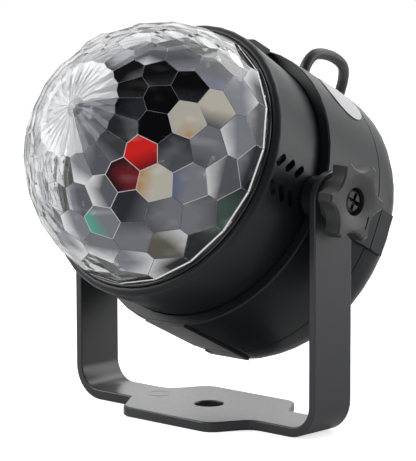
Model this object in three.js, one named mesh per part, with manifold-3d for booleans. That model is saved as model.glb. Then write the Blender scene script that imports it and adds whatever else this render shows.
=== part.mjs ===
// A small disco ball light: a faceted clear dome that a geared motor turns, over red, green and blue
// lamps in a round housing that tilts in a U bracket. Millimetres, +Z up, +X along the tilt axis,
// the dome towards -Y. The origin is on the floor, under the middle of the light without its cord.
import * as THREE from 'three';
import { mergeVertices } from 'three/addons/utils/BufferGeometryUtils.js';
import Module from 'manifold-3d';

const wasm = await Module();
wasm.setup();

// Driving dimensions
const clearance = 0.3; // between pieces that touch
const cutOverrun = 1; // how far a cutting tool reaches past what it cuts
const pivotHeight = 70.05;
const restTilt = THREE.MathUtils.degToRad(26.4); // the dome's axis above the horizon

// Bracket
const armGap = 1.95; // between the housing and an arm
const armWidth = 16.4;
const armThickness = 2.4;
const plateThickness = 3.1;
const bendRadius = 10;
const plateDepth = 40.4;
const plateRunX = 15; // where the long straight edge starts to curve in
const plateRootX = 28; // where the curve meets the arm strip
const plateCornerX = 16.9; // the end of the long edge at the slanted end
const plateShoulderX = 25.3; // where the slanted end meets the arm strip
const plateCurveRadius = 5.5;
const plateCurveEnd = THREE.MathUtils.degToRad(62); // how far each of the two curves turns
const plateCornerCut = 1.6;
const baseHoleRadius = 4.4;

// Dome
const domeCentre = 23.7; // from the tilt axis along the dome's own axis
const domeFlatRadius = 39.4; // to the middle of a facet
const domeWall = 2;
const domeRimLift = 0.4; // the rim lies this far past the centre
const facetCount = 19; // round each ring
const facetRings = 6;
const firstRingAngle = THREE.MathUtils.degToRad(27.3);
const ringStepAngle = THREE.MathUtils.degToRad(11.8);
const firstRingPhase = THREE.MathUtils.degToRad(120.5);
const fluteDepth = 0.9;
const fluteStartShare = 0.45; // of the pole disc's reach
const polePostRadius = 2.2;
const polePostSunk = 0.3;
const skirtInset = 0.5; // inside the middle of a facet
const skirtDepth = 3.4;
const stemRadius = 2.9;
const stemEnd = 24; // from the tilt axis
const shaftRadius = 1.5;
const shaftGrip = 9; // how far the shaft goes into the stem
const shaftSunk = 12; // how far the shaft goes into the motor

// Housing, as distances along the dome's axis from the tilt axis
const shellWall = 2;
const frontShellFront = 22.7;
const frontShellTaper = 1.6; // how much narrower the front shell is at the tilt axis
const frontEdgeShare = 0.9; // of the wall, for the rounding of the front edge
const frontSkirtDepth = 8; // behind the tilt axis, inside the body shell
const bodyLipWall = 3.1;
const bodyLipEdge = 0.4;
const bodyLipStep = 0.2; // from the lip to the full radius
const bodyTaper = 8; // how far back the lip grows to the full radius
const seamBack = 25.3;
const backDepth = 40;
const backCornerShare = 0.68; // of the depth of the back cover, its corner radius
const tongueLength = 4;
const tongueWall = 1.5;
const bezelWall = 1.3;
const bezelHeight = 4.2;
const bezelProud = 0.8;
const bezelRoundShare = 0.4; // of the bezel's wall
const ledgeTop = 12.7;
const ledgeThickness = 2;
const ledgeWidth = 8.2;

// Ears and pads of the housing
const earHalfHeight = 6.4;
const earBack = 32.2;
const earTaper = 0.7; // how far its face drops behind the seam
const bottomFlatDepth = 1.4; // cut off under the housing
const bottomPadDrop = 0.9; // of the pad below that flat
const bottomPadHalfWidth = 7.9;
const bottomPadBack = 32.5;
const padNotchWidth = 3.5; // in the left edge of the pad, across the seam
const padNotchFront = 24.4;
const padNotchBack = 29.3;
const topPadProud = 1.5; // above the front of the shell
const topPadHalfWidth = 7.6;
const topPadFront = 10.8;
const topPadRound = 3.2;
const ventCount = 3;
const ventWidth = 2.2;
const ventLength = 5.2;
const ventSlant = THREE.MathUtils.degToRad(40);
const ventPitch = 4.85;
const ventFirst = 19; // the foremost slot's middle
const ventRowOffset = 4.2; // of a row from the level of the tilt axis

// Screws and bosses
const bossCount = 4;
const bossInset = 6.7; // from the outside of the front shell
const bossRadius = 3.5;
const bossReach = 18; // behind the tilt axis
const towerRadius = 4.4;
const wellRadius = 3.1;
const screwSeat = 3;
const shellScrewRadius = 1.5;
const shellScrewHead = 2.75;
const shellScrewHeadHeight = 2;
const shellScrewLength = 12;
const crossWidthShare = 0.16; // of a screw head's width
const crossLengthShare = 0.68;
const crossDepthShare = 0.5; // of its height
const screwEdgeShare = 0.7; // of the head and of the tip, inside the rounded edge

// Lamps, deck and motor
const boardThickness = 1.6;
const deckThickness = 1.5;
const ledRingShare = 0.622; // of the deck's radius
const ledCount = 3;
const ledFirstAngle = THREE.MathUtils.degToRad(-30);
const ledBaseRadius = 4.6;
const ledBaseHeight = 2;
const ledLensRadius = 3.1;
const ledWindowRadius = 6;
const motorRadius = 12;
const motorTop = 20.5;
const motorBottom = 6; // behind the tilt axis
const motorEarReach = 19.5;
const motorEarHalfWidth = 5;
const motorEarThickness = 1.3;
const motorScrewX = 16;
const deckScrewCount = 3;
const deckScrewInset = 6.4; // from the outside of the front shell
const deckScrewFirst = THREE.MathUtils.degToRad(90);
const deckScrewLength = 8;
const deckBossRadius = 3;
const deckBossDepth = 5;
const smallScrewRadius = 1.2;
const smallScrewHead = 2.3;
const smallScrewHeadHeight = 1.5;

// Control board
const controlBoardWidth = 50;
const controlBoardSpace = 3; // from the towers
const controlBoardRise = 11.4; // from the back of the housing to the face of the control board
const postX = 20;
const postRadius = 2.8;
const capacitorRadius = 4;
const capacitorHeight = 9;
const capacitorX = -12;
const capacitorY = -9;
const chipWidth = 10;
const chipHeight = 8;
const chipThickness = 3;
const chipX = 3;
const chipY = -8;
const connectorWidth = 11;
const connectorHeight = 6;
const connectorThickness = 7;
const connectorInset = 6; // from the top edge of the control board
const wireRadius = 0.8;
const wireSpread = 2.5; // of each wire from the middle of the connector
const motorWireY = 6;
const ledWireX = 8;
const ledWireY = 17;

// Knobs
const knobTipRadius = 11.9;
const knobWaistRadius = 8.8;
const knobTipHalfWidth = 1.2;
const knobLobes = 6;
const knobPhase = THREE.MathUtils.degToRad(-15.4);
const knobNeckRadius = 7;
const knobNeckLength = 3.2;
const knobStarThickness = 5.4;
const knobEdge = 0.5;
const knobDishRadius = 7.5;
const knobDishDepth = 0.9;
const knobRecessRadius = 4.1;
const knobRecessDepth = 4.2;
const knobScrewRadius = 2;
const knobScrewHead = 3.7;
const knobScrewHeadHeight = 2.4;
const knobMarkOut = 6.7; // of the slit in the knob's face, behind its middle
const knobMarkHigh = -2.1;
const knobMarkLow = -5.9;
const knobMarkWidth = 0.5;
const knobMarkDepth = 1.1;
const nutAcrossFlats = 7;
const nutThickness = 2.4;
const nutFloor = 1.5; // of the ear, outside the nut

// Cord and plug
const cordDiameter = 3.5;
const reliefRadius = 3.3;
const reliefProud = 0.3;
const reliefFlangeRadius = 5;
const reliefFlangeThickness = 1.4;
const reliefInside = 2.5;
const coilMidRadius = 19;
const coilGap = 0.5; // between turns, and between layers
const coilLayers = 2;
const turnsPerLayer = 3;
const coilX = -81.1;
const coilBehind = 68.8; // from the back of the housing's round
const coilStartAngle = THREE.MathUtils.degToRad(42.9);
const coilTailRadius = 10; // of the last bend, over the top of the coil
const tieThickness = 0.8;
const tieWidth = 3.5;
const tieAngle = THREE.MathUtils.degToRad(285); // from where the coil starts
const gripLength = 22;
const gripWidth = 15.5;
const gripHeight = 8;
const gripRound = 1.6;
const gripNeckShare = 0.3; // of the width, drawn in at the back
const contactLength = 12;
const contactWidth = 12;
const contactHeight = 4.5;
const contactWall = 0.4;
const contactFloor = 2;
const tongueHeight = 1.9;

// The free cord, first from its exit and then from the back of the housing's round
const cordArch = [
  [0, 3.5, 5.4],
  [0, 5.8, 6.7],
  [0, 8.5, 6.9],
  [-0.1, 11.9, 6.4],
  [-0.3, 15.6, 5.3],
  [-0.8, 19.6, 3.3],
];
const cordFall = [
  [-2.2, 20.8, 100.5],
  [-4.8, 23.6, 96.6],
  [-8, 25.5, 91.5],
  [-10.8, 26.7, 85.3],
  [-12.6, 27.4, 78.2],
  [-13.6, 27.8, 70.5],
  [-14.1, 28.1, 62.5],
  [-14.4, 28.3, 54.4],
  [-14.6, 28.5, 46.3],
  [-14.8, 28.8, 38.4],
  [-15.1, 29.3, 30.8],
  [-15.7, 30.1, 23.6],
  [-16.9, 31.7, 17],
  [-18.9, 34.1, 11.2],
  [-22, 37.5, 6.7],
  [-26.2, 42, 3.7],
  [-31.2, 47.4, 2.2],
  [-36.5, 53.2, 1.8],
  [-41.9, 59.1, 1.8],
  [-47.2, 65.3, 1.9],
  [-52.4, 71.8, 2.3],
  [-56.9, 78.5, 2.7],
];

const fullTurn = Math.PI * 2;
const quarterTurn = Math.PI / 2;
const roundSteps = 48; // round the large turned pieces
const smallSteps = 12; // round screws, bores and bosses
const knobSteps = 24; // round the dish and the recess of a knob
const cornerSteps = 5; // round a corner
const bendSteps = 10; // round a bend of the bracket
const turnSteps = 24; // round one turn of the coil
const coilSides = 6;
const cordSides = 8;
const cordSteps = 72;
const wireSteps = 10;

// Sizes that follow from the ones above
const skirtRadius = domeFlatRadius - skirtInset;
const frontShellRadius = skirtRadius + 2 * clearance + bezelWall + shellWall;
const frontShellRearRadius = frontShellRadius - frontShellTaper;
const bodyLipRadius = frontShellRearRadius + clearance + bodyLipWall;
const bodyRadius = bodyLipRadius + bodyLipStep;
const armInside = bodyRadius + armGap;
const halfWidth = armInside + armThickness;
const earFace = armInside - clearance;
const earInside = frontShellRearRadius + 2 * clearance
  + ((frontShellRadius - frontShellRearRadius) * earHalfHeight) / frontShellFront;
const frontInner = frontShellRearRadius - shellWall;
const bezelSeatRadius = frontShellRadius - shellWall;
const bezelTop = frontShellFront + bezelProud;
const bezelSeat = bezelTop - bezelHeight - clearance;
const bodyInner = bodyRadius - shellWall;
const tongueOuter = bodyInner - clearance;
const tongueInner = tongueOuter - tongueWall;
const bodyEnd = clearance / 2 - seamBack;
const coverStart = -seamBack - clearance / 2;
const coverFloor = shellWall - backDepth;
const lampBoardBottom = ledgeTop + clearance;
const lampBoardTop = lampBoardBottom + boardThickness;
const deckBottom = lampBoardTop + clearance;
const deckTop = deckBottom + deckThickness;
const deckRadius = frontInner - 2 * clearance;
const deckHole = motorRadius + 2 * clearance;
const ledgeInnerRadius = frontInner - ledgeWidth;
const topPadHeight = frontShellRadius + topPadProud;
const bottomFlat = bodyRadius - bottomFlatDepth;
const bossRing = frontShellRearRadius - bossInset;
const deckScrewRing = frontShellRearRadius - deckScrewInset;
const ledRing = deckRadius * ledRingShare;
const controlBoardHeight = 2 * (bossRing * Math.SQRT1_2 - towerRadius - controlBoardSpace);
const connectorY = controlBoardHeight / 2 - connectorInset;
const coilY = bodyRadius + coilBehind;
const smallHole = smallScrewRadius + clearance;
const shellScrewHole = shellScrewRadius + clearance;
const screwSeatBack = bossReach + clearance + screwSeat;
const domeRim = domeCentre + domeRimLift;
const domeInner = domeFlatRadius - domeWall;
const knobBase = halfWidth + clearance;
const knobFace = knobBase + knobNeckLength + knobStarThickness;
const cordRadius = cordDiameter / 2;
const cordPitch = cordDiameter + coilGap;
const coilOuter = coilMidRadius + (cordPitch * turnsPerLayer) / 2;
const coilInner = coilMidRadius - (cordPitch * turnsPerLayer) / 2;
const coilBase = tieThickness + clearance + cordRadius;
const coilTop = coilBase + cordPitch * (coilLayers - 1) + cordRadius;
const plugLevel = coilTop + 2 * clearance + tieThickness + gripHeight / 2;
const controlBoardTop = backDepth - controlBoardRise;
const controlTop = clearance - controlBoardTop; // where the parts on the control board stand

// Booleans
function solidOf(geometry) {
  const bare = geometry.clone();
  for (const name of Object.keys(bare.attributes)) {
    if (name !== 'position') bare.deleteAttribute(name);
  }
  const merged = mergeVertices(bare, 1e-4);
  return new wasm.Manifold(new wasm.Mesh({
    numProp: 3,
    vertProperties: new Float32Array(merged.attributes.position.array),
    triVerts: new Uint32Array(merged.index.array),
  }));
}

function geometryOf(solid) {
  const mesh = solid.getMesh();
  const geometry = new THREE.BufferGeometry();
  geometry.setAttribute('position', new THREE.BufferAttribute(new Float32Array(mesh.vertProperties), 3));
  geometry.setIndex(new THREE.BufferAttribute(new Uint32Array(mesh.triVerts), 1));
  return geometry;
}

function join(...geometries) {
  return geometryOf(geometries.map(solidOf).reduce((a, b) => a.add(b)));
}

function cut(geometry, ...tools) {
  return geometryOf(tools.map(solidOf).reduce((a, b) => a.subtract(b), solidOf(geometry)));
}

// Basic shapes. In the housing the dome's axis is +Z, up across it is +Y and the tilt axis is +X.
// A profile lists [distance from the axis, distance along it], anticlockwise.
function turned(profile, steps) {
  const points = profile.map(([radius, level]) => new THREE.Vector2(radius, level));
  if (profile[0][0] > 0) points.push(points[0]);
  return new THREE.LatheGeometry(points, steps).rotateX(quarterTurn);
}

function rod(radius, low, high, steps = smallSteps) {
  return turned([[0, low], [radius, low], [radius, high], [0, high]], steps);
}

function rodAcross(radius, low, high, steps = smallSteps) {
  return rod(radius, low, high, steps).rotateY(quarterTurn);
}

function rodUp(radius, low, high, steps = smallSteps) {
  return rod(radius, low, high, steps).rotateX(-quarterTurn);
}

function rods(places, radius, low, high) {
  return places.map(([x, y]) => rod(radius, low, high).translate(x, y, 0));
}

function box([x0, y0, z0], [x1, y1, z1]) {
  return new THREE.BoxGeometry(x1 - x0, y1 - y0, z1 - z0)
    .translate((x0 + x1) / 2, (y0 + y1) / 2, (z0 + z1) / 2);
}

function arc(x, y, radius, start, end, steps = cornerSteps) {
  return Array.from({ length: steps + 1 }, (_, i) => {
    const angle = start + ((end - start) * i) / steps;
    return [x + radius * Math.cos(angle), y + radius * Math.sin(angle)];
  });
}

function placesRound(count, radius, first) {
  return Array.from({ length: count }, (_, k) => {
    const angle = first + (fullTurn * k) / count;
    return [radius * Math.cos(angle), radius * Math.sin(angle)];
  });
}

function outline(points) {
  return new THREE.Shape(points.map(([x, y]) => new THREE.Vector2(x, y)));
}

function slab(points, depth) {
  return new THREE.ExtrudeGeometry(outline(points), { depth, bevelEnabled: false });
}

function polygon(radius, sides) {
  return outline(placesRound(sides, radius, Math.PI / sides));
}

// A round wire or cord through the points
function tube(points, radius, sides, steps) {
  const path = new THREE.CatmullRomCurve3(points, false, 'centripetal');
  return new THREE.ExtrudeGeometry(polygon(radius, sides), { steps, extrudePath: path });
}

// A screw with its head up and the underside of the head at zero
function screw(radius, length, headRadius, headHeight) {
  const tip = radius * (1 - screwEdgeShare);
  const edge = headHeight * (1 - screwEdgeShare);
  const body = turned([
    [0, -length],
    [radius - tip, -length],
    [radius, tip - length],
    [radius, 0],
    [headRadius, 0],
    [headRadius, headHeight - edge],
    [headRadius * screwEdgeShare, headHeight],
    [0, headHeight],
  ], smallSteps);
  const reach = headRadius * crossLengthShare;
  const half = headRadius * crossWidthShare;
  const bottom = headHeight * (1 - crossDepthShare);
  const bar = box([-reach, -half, bottom], [reach, half, headHeight + cutOverrun]);
  return cut(body, bar, bar.clone().rotateZ(quarterTurn));
}

// Bracket
function bracketStrip() {
  const innerRadius = bendRadius - plateThickness;
  const right = [
    ...arc(halfWidth - bendRadius, bendRadius, bendRadius, -quarterTurn, 0, bendSteps),
    [halfWidth, pivotHeight],
    [armInside, pivotHeight],
    ...arc(armInside - innerRadius, bendRadius, innerRadius, 0, -quarterTurn, bendSteps),
  ];
  const left = right.map(([x, z]) => [-x, z]).reverse();
  return slab([...right, ...left], armWidth).rotateX(quarterTurn).translate(0, armWidth / 2, 0);
}

// The front half of the plate's outline. The rear half is the same, turned half a turn.
function plateHalf(side) {
  const half = plateDepth / 2;
  const arm = armWidth / 2;
  const slant = new THREE.Vector2(plateShoulderX - plateCornerX, half - arm).setLength(plateCornerCut);
  const points = [
    [-plateShoulderX, -arm],
    [-plateCornerX - slant.x, slant.y - half],
    [plateCornerCut - plateCornerX, -half],
    ...arc(plateRunX, plateCurveRadius - half, plateCurveRadius, -quarterTurn, plateCurveEnd - quarterTurn),
    ...arc(plateRootX, -arm - plateCurveRadius, plateCurveRadius, quarterTurn + plateCurveEnd, quarterTurn),
  ];
  return points.map(([x, y]) => [x * side, y * side]);
}

function bracket() {
  const plate = slab([...plateHalf(1), ...plateHalf(-1)], plateThickness);
  const ends = [-1, 1].map((side) => rod(armWidth / 2, armInside, halfWidth, 2 * smallSteps)
    .rotateY(side * quarterTurn).translate(0, 0, pivotHeight));
  const bore = rodAcross(knobScrewRadius + clearance, -halfWidth - cutOverrun, halfWidth + cutOverrun)
    .translate(0, 0, pivotHeight);
  const hole = rod(baseHoleRadius, -cutOverrun, plateThickness + cutOverrun, 2 * smallSteps);
  return cut(join(bracketStrip(), plate, ...ends), hole, bore);
}

// Dome. Each facet lies in a plane that touches a sphere, and each ring is turned by half a facet.
function domePoint(radius, polar, azimuth) {
  const across = radius * Math.sin(polar);
  return [across * Math.sin(azimuth), across * Math.cos(azimuth), domeCentre + radius * Math.cos(polar)];
}

// The corner in the middle of a facet of the own ring, where two facets of the other ring meet
function cornerAt(ownAngle, otherAngle, azimuth) {
  const spread = Math.cos(Math.PI / facetCount);
  const polar = Math.atan2(
    Math.cos(ownAngle) - Math.cos(otherAngle),
    spread * Math.sin(otherAngle) - Math.sin(ownAngle),
  );
  const inHalf = polar < 0 ? polar + Math.PI : polar;
  return domePoint(domeFlatRadius / Math.cos(inHalf - ownAngle), inHalf, azimuth);
}

function facetBand(ring) {
  const step = Math.PI / facetCount;
  const angle = firstRingAngle + ring * ringStepAngle;
  const next = angle + ringStepAngle;
  const phase = firstRingPhase + (ring % 2 === 0 ? 0 : step);
  return Array.from({ length: 2 * facetCount }, (_, k) => {
    const azimuth = phase + step * (ring % 2 === 0 ? k : k - 1);
    const own = ring % 2 === 0 ? k % 2 === 0 : k % 2 === 1;
    return own ? cornerAt(angle, next, azimuth) : cornerAt(next, angle, azimuth);
  });
}

// Where the last ring of facets meets a level across the axis
function rimBand(level) {
  const step = Math.PI / facetCount;
  const angle = firstRingAngle + (facetRings - 1) * ringStepAngle;
  const radius = (domeFlatRadius - (level - domeCentre) * Math.cos(angle)) / Math.sin(angle);
  return Array.from({ length: 2 * facetCount }, (_, k) => {
    const azimuth = firstRingPhase + step * k;
    const corner = (k + facetRings) % 2 === 0 ? 1 / Math.cos(step) : 1;
    return [radius * corner * Math.sin(azimuth), radius * corner * Math.cos(azimuth), level];
  });
}

function fluteBand(share, depth) {
  const step = Math.PI / facetCount;
  const reach = (firstRingAngle - ringStepAngle / 2) * share;
  return Array.from({ length: 2 * facetCount }, (_, k) => {
    const radius = domeFlatRadius - (k % 2 === 0 ? depth : 0);
    return domePoint(radius, reach, firstRingPhase + step * k);
  });
}

function domeOutside() {
  const bands = [fluteBand(fluteStartShare / 3, fluteDepth / 3), fluteBand(fluteStartShare, fluteDepth)];
  for (let ring = -1; ring + 1 < facetRings; ring += 1) bands.push(facetBand(ring));
  bands.push(rimBand(domeRim));
  const count = 2 * facetCount;
  const faces = [];
  for (let b = 0; b + 1 < bands.length; b += 1) {
    for (let k = 0; k < count; k += 1) {
      const next = (k + 1) % count;
      const [high, low] = [b * count, (b + 1) * count];
      faces.push(high + k, high + next, low + next, high + k, low + next, low + k);
    }
  }
  const top = bands.length * count;
  const last = top - count;
  for (let k = 0; k < count; k += 1) {
    const next = (k + 1) % count;
    faces.push(top, next, k, top + 1, last + k, last + next);
  }
  const positions = [...bands.flat(), [0, 0, domeCentre + domeFlatRadius - fluteDepth / 3], [0, 0, domeRim]];
  const geometry = new THREE.BufferGeometry();
  geometry.setAttribute('position', new THREE.BufferAttribute(new Float32Array(positions.flat()), 3));
  geometry.setIndex(faces);
  return geometry;
}

function dome() {
  const skirt = rod(skirtRadius, domeCentre - skirtDepth, domeRim, roundSteps);
  const poleTop = domeCentre + domeFlatRadius - polePostSunk;
  const post = rod(polePostRadius, poleTop - domeWall, poleTop);
  const hollow = turned([
    [0, domeCentre - skirtDepth - cutOverrun],
    [skirtRadius - domeWall, domeCentre - skirtDepth - cutOverrun],
    ...arc(0, domeCentre, domeInner, Math.asin((domeRimLift * 2) / domeInner), quarterTurn, 2 * cornerSteps)
      .slice(0, -1),
    [0, domeCentre + domeInner],
  ], roundSteps);
  const stem = rod(stemRadius, stemEnd, domeCentre + domeFlatRadius - domeWall / 2);
  const bore = rod(shaftRadius + clearance, stemEnd - cutOverrun, stemEnd + shaftGrip + clearance);
  return cut(join(cut(join(domeOutside(), skirt, post), hollow), stem), bore);
}

function motorShaft() {
  return rod(shaftRadius, motorTop - shaftSunk, stemEnd + shaftGrip);
}

// Housing
const bossPlaces = placesRound(bossCount, bossRing, Math.PI / bossCount);
const deckPlaces = placesRound(deckScrewCount, deckScrewRing, deckScrewFirst);
const motorScrewPlaces = [[motorScrewX, 0], [-motorScrewX, 0]];
const boardScrewPlaces = [[postX, 0], [-postX, 0]];

function vents() {
  const half = ventLength / 2 - ventWidth / 2;
  const slot = slab([
    ...arc(half, 0, ventWidth / 2, -quarterTurn, quarterTurn, 4),
    ...arc(-half, 0, ventWidth / 2, quarterTurn, 3 * quarterTurn, 4),
  ], frontShellRadius - frontInner + 2 * cutOverrun);
  const tools = [];
  for (let i = 0; i < ventCount; i += 1) {
    for (const row of [1, -1]) {
      const placed = slot.clone().rotateZ(-row * ventSlant - quarterTurn).rotateY(quarterTurn)
        .translate(frontInner - cutOverrun, row * ventRowOffset, ventFirst - i * ventPitch);
      tools.push(placed, placed.clone().rotateZ(Math.PI));
    }
  }
  return tools;
}

function topPad() {
  const low = frontInner + shellWall / 2;
  const points = [
    [-clearance, low],
    [-clearance, topPadHeight],
    ...arc(topPadRound - topPadFront, topPadHeight - topPadRound, topPadRound, quarterTurn, Math.PI),
    [-topPadFront, low],
  ];
  return slab(points.reverse(), 2 * topPadHalfWidth).rotateY(quarterTurn).translate(-topPadHalfWidth, 0, 0);
}

function frontShell() {
  const round = shellWall * frontEdgeShare;
  const ledgeBottom = ledgeTop - ledgeThickness;
  const ledgeMiddle = ledgeTop - ledgeThickness / 2;
  const shell = turned([
    [frontInner, -frontSkirtDepth],
    [frontShellRearRadius, -frontSkirtDepth],
    [frontShellRearRadius, 0],
    ...arc(frontShellRadius - round, frontShellFront - round, round, 0, quarterTurn),
    [bezelSeatRadius, frontShellFront],
    [bezelSeatRadius, bezelSeat],
    [frontInner, bezelSeat],
    [frontInner, ledgeTop],
    [ledgeInnerRadius, ledgeTop],
    [ledgeInnerRadius, ledgeBottom],
    [frontInner, ledgeBottom],
  ], roundSteps);
  const bosses = rods(bossPlaces, bossRadius, -bossReach, ledgeMiddle);
  const deckBosses = rods(deckPlaces, deckBossRadius, ledgeBottom - deckBossDepth, ledgeMiddle);
  const boreEnd = shellScrewLength - screwSeatBack + clearance;
  const bores = rods(bossPlaces, shellScrewHole, -bossReach - cutOverrun, boreEnd);
  const deckBoreEnd = deckTop - deckScrewLength;
  const deckBores = rods(deckPlaces, smallHole, deckBoreEnd, ledgeTop + cutOverrun);
  return cut(join(shell, topPad(), ...bosses, ...deckBosses), ...bores, ...deckBores, ...vents());
}

function ear(end) {
  const points = [
    ...arc(0, 0, earHalfHeight, quarterTurn, 3 * quarterTurn, 2 * cornerSteps),
    [-end, -earHalfHeight],
    [-end, earHalfHeight],
  ];
  return slab(points, earFace - earInside).rotateY(quarterTurn).translate(earInside, 0, 0);
}

function hexagonRod(acrossFlats, low, high) {
  const corners = placesRound(6, acrossFlats / 2 / Math.cos(Math.PI / 6), 0);
  return slab(corners, high - low).rotateY(quarterTurn).translate(low, 0, 0);
}

function bottomCut() {
  const wide = bodyRadius + cutOverrun;
  return box([-wide, -wide, -backDepth - cutOverrun], [wide, -bottomFlat, cutOverrun]);
}

// The pad under the housing, from one level to another
function bottomPad(low, high) {
  const inside = (bodyInner + bottomFlat) / 2;
  return box([-bottomPadHalfWidth, -bottomFlat - bottomPadDrop, low], [bottomPadHalfWidth, -inside, high]);
}

function padNotch() {
  return box(
    [-bottomPadHalfWidth - cutOverrun, -bottomFlat - bottomPadDrop - cutOverrun, -padNotchBack],
    [padNotchWidth - bottomPadHalfWidth, -bottomFlat, -padNotchFront],
  );
}

function reliefBore() {
  return rodUp(reliefRadius + clearance, bodyInner - shellWall - tongueWall, bodyRadius + cutOverrun)
    .translate(0, 0, -seamBack);
}

function bodyShell() {
  const lipHole = frontShellRearRadius + clearance;
  const lipBack = frontSkirtDepth + clearance;
  const rootBack = seamBack - tongueLength;
  const shell = turned([
    [tongueInner, -seamBack - tongueLength],
    [tongueOuter, -seamBack - tongueLength],
    [tongueOuter, bodyEnd],
    [bodyRadius, bodyEnd],
    [bodyRadius, -bodyTaper],
    [bodyLipRadius, -bodyLipEdge],
    [bodyLipRadius - bodyLipEdge, 0],
    [lipHole, 0],
    [lipHole, -lipBack],
    [bodyInner, lipHole - bodyInner - lipBack],
    [bodyInner, bodyInner - tongueInner - rootBack],
    [tongueInner, -rootBack],
  ], roundSteps);
  const pocket = hexagonRod(nutAcrossFlats + 2 * clearance, earInside - cutOverrun, earFace - nutFloor);
  const hole = rodAcross(knobScrewRadius + clearance, frontShellRearRadius, earFace + cutOverrun);
  const rightTools = [pocket, hole];
  const leftTools = rightTools.map((tool) => tool.clone().rotateZ(Math.PI));
  const rightEar = ear(bodyEnd);
  const round = cut(join(shell, rightEar, rightEar.clone().rotateZ(Math.PI)), bottomCut());
  const padded = join(round, bottomPad(bodyEnd, -clearance));
  return cut(padded, ...rightTools, ...leftTools, padNotch(), reliefBore());
}

function coverEar() {
  const inside = bodyRadius - shellWall / 2;
  const points = [
    [coverStart, inside],
    [coverStart, earFace],
    [-earBack, earFace - earTaper],
    [-earBack, inside],
  ];
  return slab(points.map(([level, x]) => [x, level]).reverse(), 2 * earHalfHeight)
    .rotateX(quarterTurn).translate(0, earHalfHeight, 0);
}

function backCover() {
  const cornerRadius = (backDepth - seamBack) * backCornerShare;
  const corner = bodyRadius - cornerRadius;
  const level = cornerRadius - backDepth;
  const shell = turned([
    [0, -backDepth],
    ...arc(corner, level, cornerRadius, -quarterTurn, 0),
    [bodyRadius, coverStart],
    [bodyInner, coverStart],
    ...arc(corner, level, cornerRadius - shellWall, 0, -quarterTurn),
    [0, coverFloor],
  ], roundSteps);
  const middle = shellWall / 2 - backDepth;
  const postTop = -controlBoardTop - boardThickness - clearance;
  const towers = rods(bossPlaces, towerRadius, middle, -bossReach - clearance);
  const posts = rods(boardScrewPlaces, postRadius, middle, postTop);
  const wells = rods(bossPlaces, wellRadius, -backDepth - cutOverrun, -screwSeatBack);
  const holes = rods(bossPlaces, shellScrewHole, -screwSeatBack - cutOverrun, cutOverrun - bossReach);
  const postBores = rods(boardScrewPlaces, smallHole, coverFloor, postTop + cutOverrun);
  const rightEar = coverEar();
  const round = cut(join(shell, rightEar, rightEar.clone().rotateZ(Math.PI), ...towers, ...posts), bottomCut());
  const padded = join(round, bottomPad(-bottomPadBack, coverStart));
  return cut(padded, ...wells, ...holes, ...postBores, padNotch(), reliefBore());
}

function bezelRing() {
  const inner = skirtRadius + clearance;
  const outer = inner + bezelWall;
  const round = bezelWall * bezelRoundShare;
  return turned([
    [inner, bezelSeat + clearance],
    [outer, bezelSeat + clearance],
    ...arc(outer - round, bezelTop - round, round, 0, quarterTurn, 2),
    ...arc(inner + round, bezelTop - round, round, quarterTurn, Math.PI, 2),
  ], roundSteps);
}

// Deck, lamps and motor
const ledPlaces = placesRound(ledCount, ledRing, ledFirstAngle);

function lampBoard() {
  const disc = rod(deckRadius, lampBoardBottom, lampBoardTop, roundSteps);
  const [low, high] = [lampBoardBottom - cutOverrun, lampBoardTop + cutOverrun];
  const holes = rods([...deckPlaces, ...motorScrewPlaces], smallHole, low, high);
  return cut(disc, rod(deckHole, low, high, 2 * smallSteps), ...holes);
}

function reflectorPlate() {
  const disc = rod(deckRadius, deckBottom, deckTop, roundSteps);
  const [low, high] = [deckBottom - cutOverrun, deckTop + cutOverrun];
  const holes = rods([...deckPlaces, ...motorScrewPlaces], smallHole, low, high);
  const windows = rods(ledPlaces, ledWindowRadius, low, high);
  return cut(disc, rod(deckHole, low, high, 2 * smallSteps), ...holes, ...windows);
}

function lamp([x, y]) {
  const low = lampBoardTop + clearance;
  const high = low + ledBaseHeight;
  return turned([
    [0, low],
    [ledBaseRadius, low],
    [ledBaseRadius, high],
    ...arc(0, high, ledLensRadius, 0, quarterTurn).slice(0, -1),
    [0, high + ledLensRadius],
  ], smallSteps).translate(x, y, 0);
}

function gearMotor() {
  const earTop = lampBoardBottom - clearance;
  const can = rod(motorRadius, -motorBottom, motorTop, 2 * smallSteps);
  const ears = box([-motorEarReach, -motorEarHalfWidth, earTop - motorEarThickness],
    [motorEarReach, motorEarHalfWidth, earTop]);
  const bore = rod(shaftRadius + clearance, motorTop - shaftSunk - clearance, motorTop + cutOverrun);
  const holes = rods(motorScrewPlaces, smallHole, earTop - motorEarThickness - cutOverrun, earTop + cutOverrun);
  return cut(join(can, ears), bore, ...holes);
}

function deckScrew([x, y]) {
  return screw(smallScrewRadius, deckScrewLength, smallScrewHead, smallScrewHeadHeight)
    .translate(x, y, deckTop + clearance);
}

function shellScrew([x, y]) {
  return screw(shellScrewRadius, shellScrewLength, shellScrewHead, shellScrewHeadHeight)
    .rotateX(Math.PI).translate(x, y, -screwSeatBack - clearance);
}

// Control board and wires
function controlBoard() {
  const [x, y] = [controlBoardWidth / 2, controlBoardHeight / 2];
  const board = box([-x, -y, -controlBoardTop - boardThickness], [x, y, -controlBoardTop]);
  const holes = rods(boardScrewPlaces, smallHole, -controlBoardTop - boardThickness - cutOverrun,
    cutOverrun - controlBoardTop);
  return cut(board, ...holes);
}

function boardScrew([x, y]) {
  const length = controlTop - coverFloor - 2 * clearance;
  return screw(smallScrewRadius, length, smallScrewHead, smallScrewHeadHeight).translate(x, y, controlTop);
}

function capacitor() {
  return rod(capacitorRadius, controlTop, controlTop + capacitorHeight).translate(capacitorX, capacitorY, 0);
}

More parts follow.
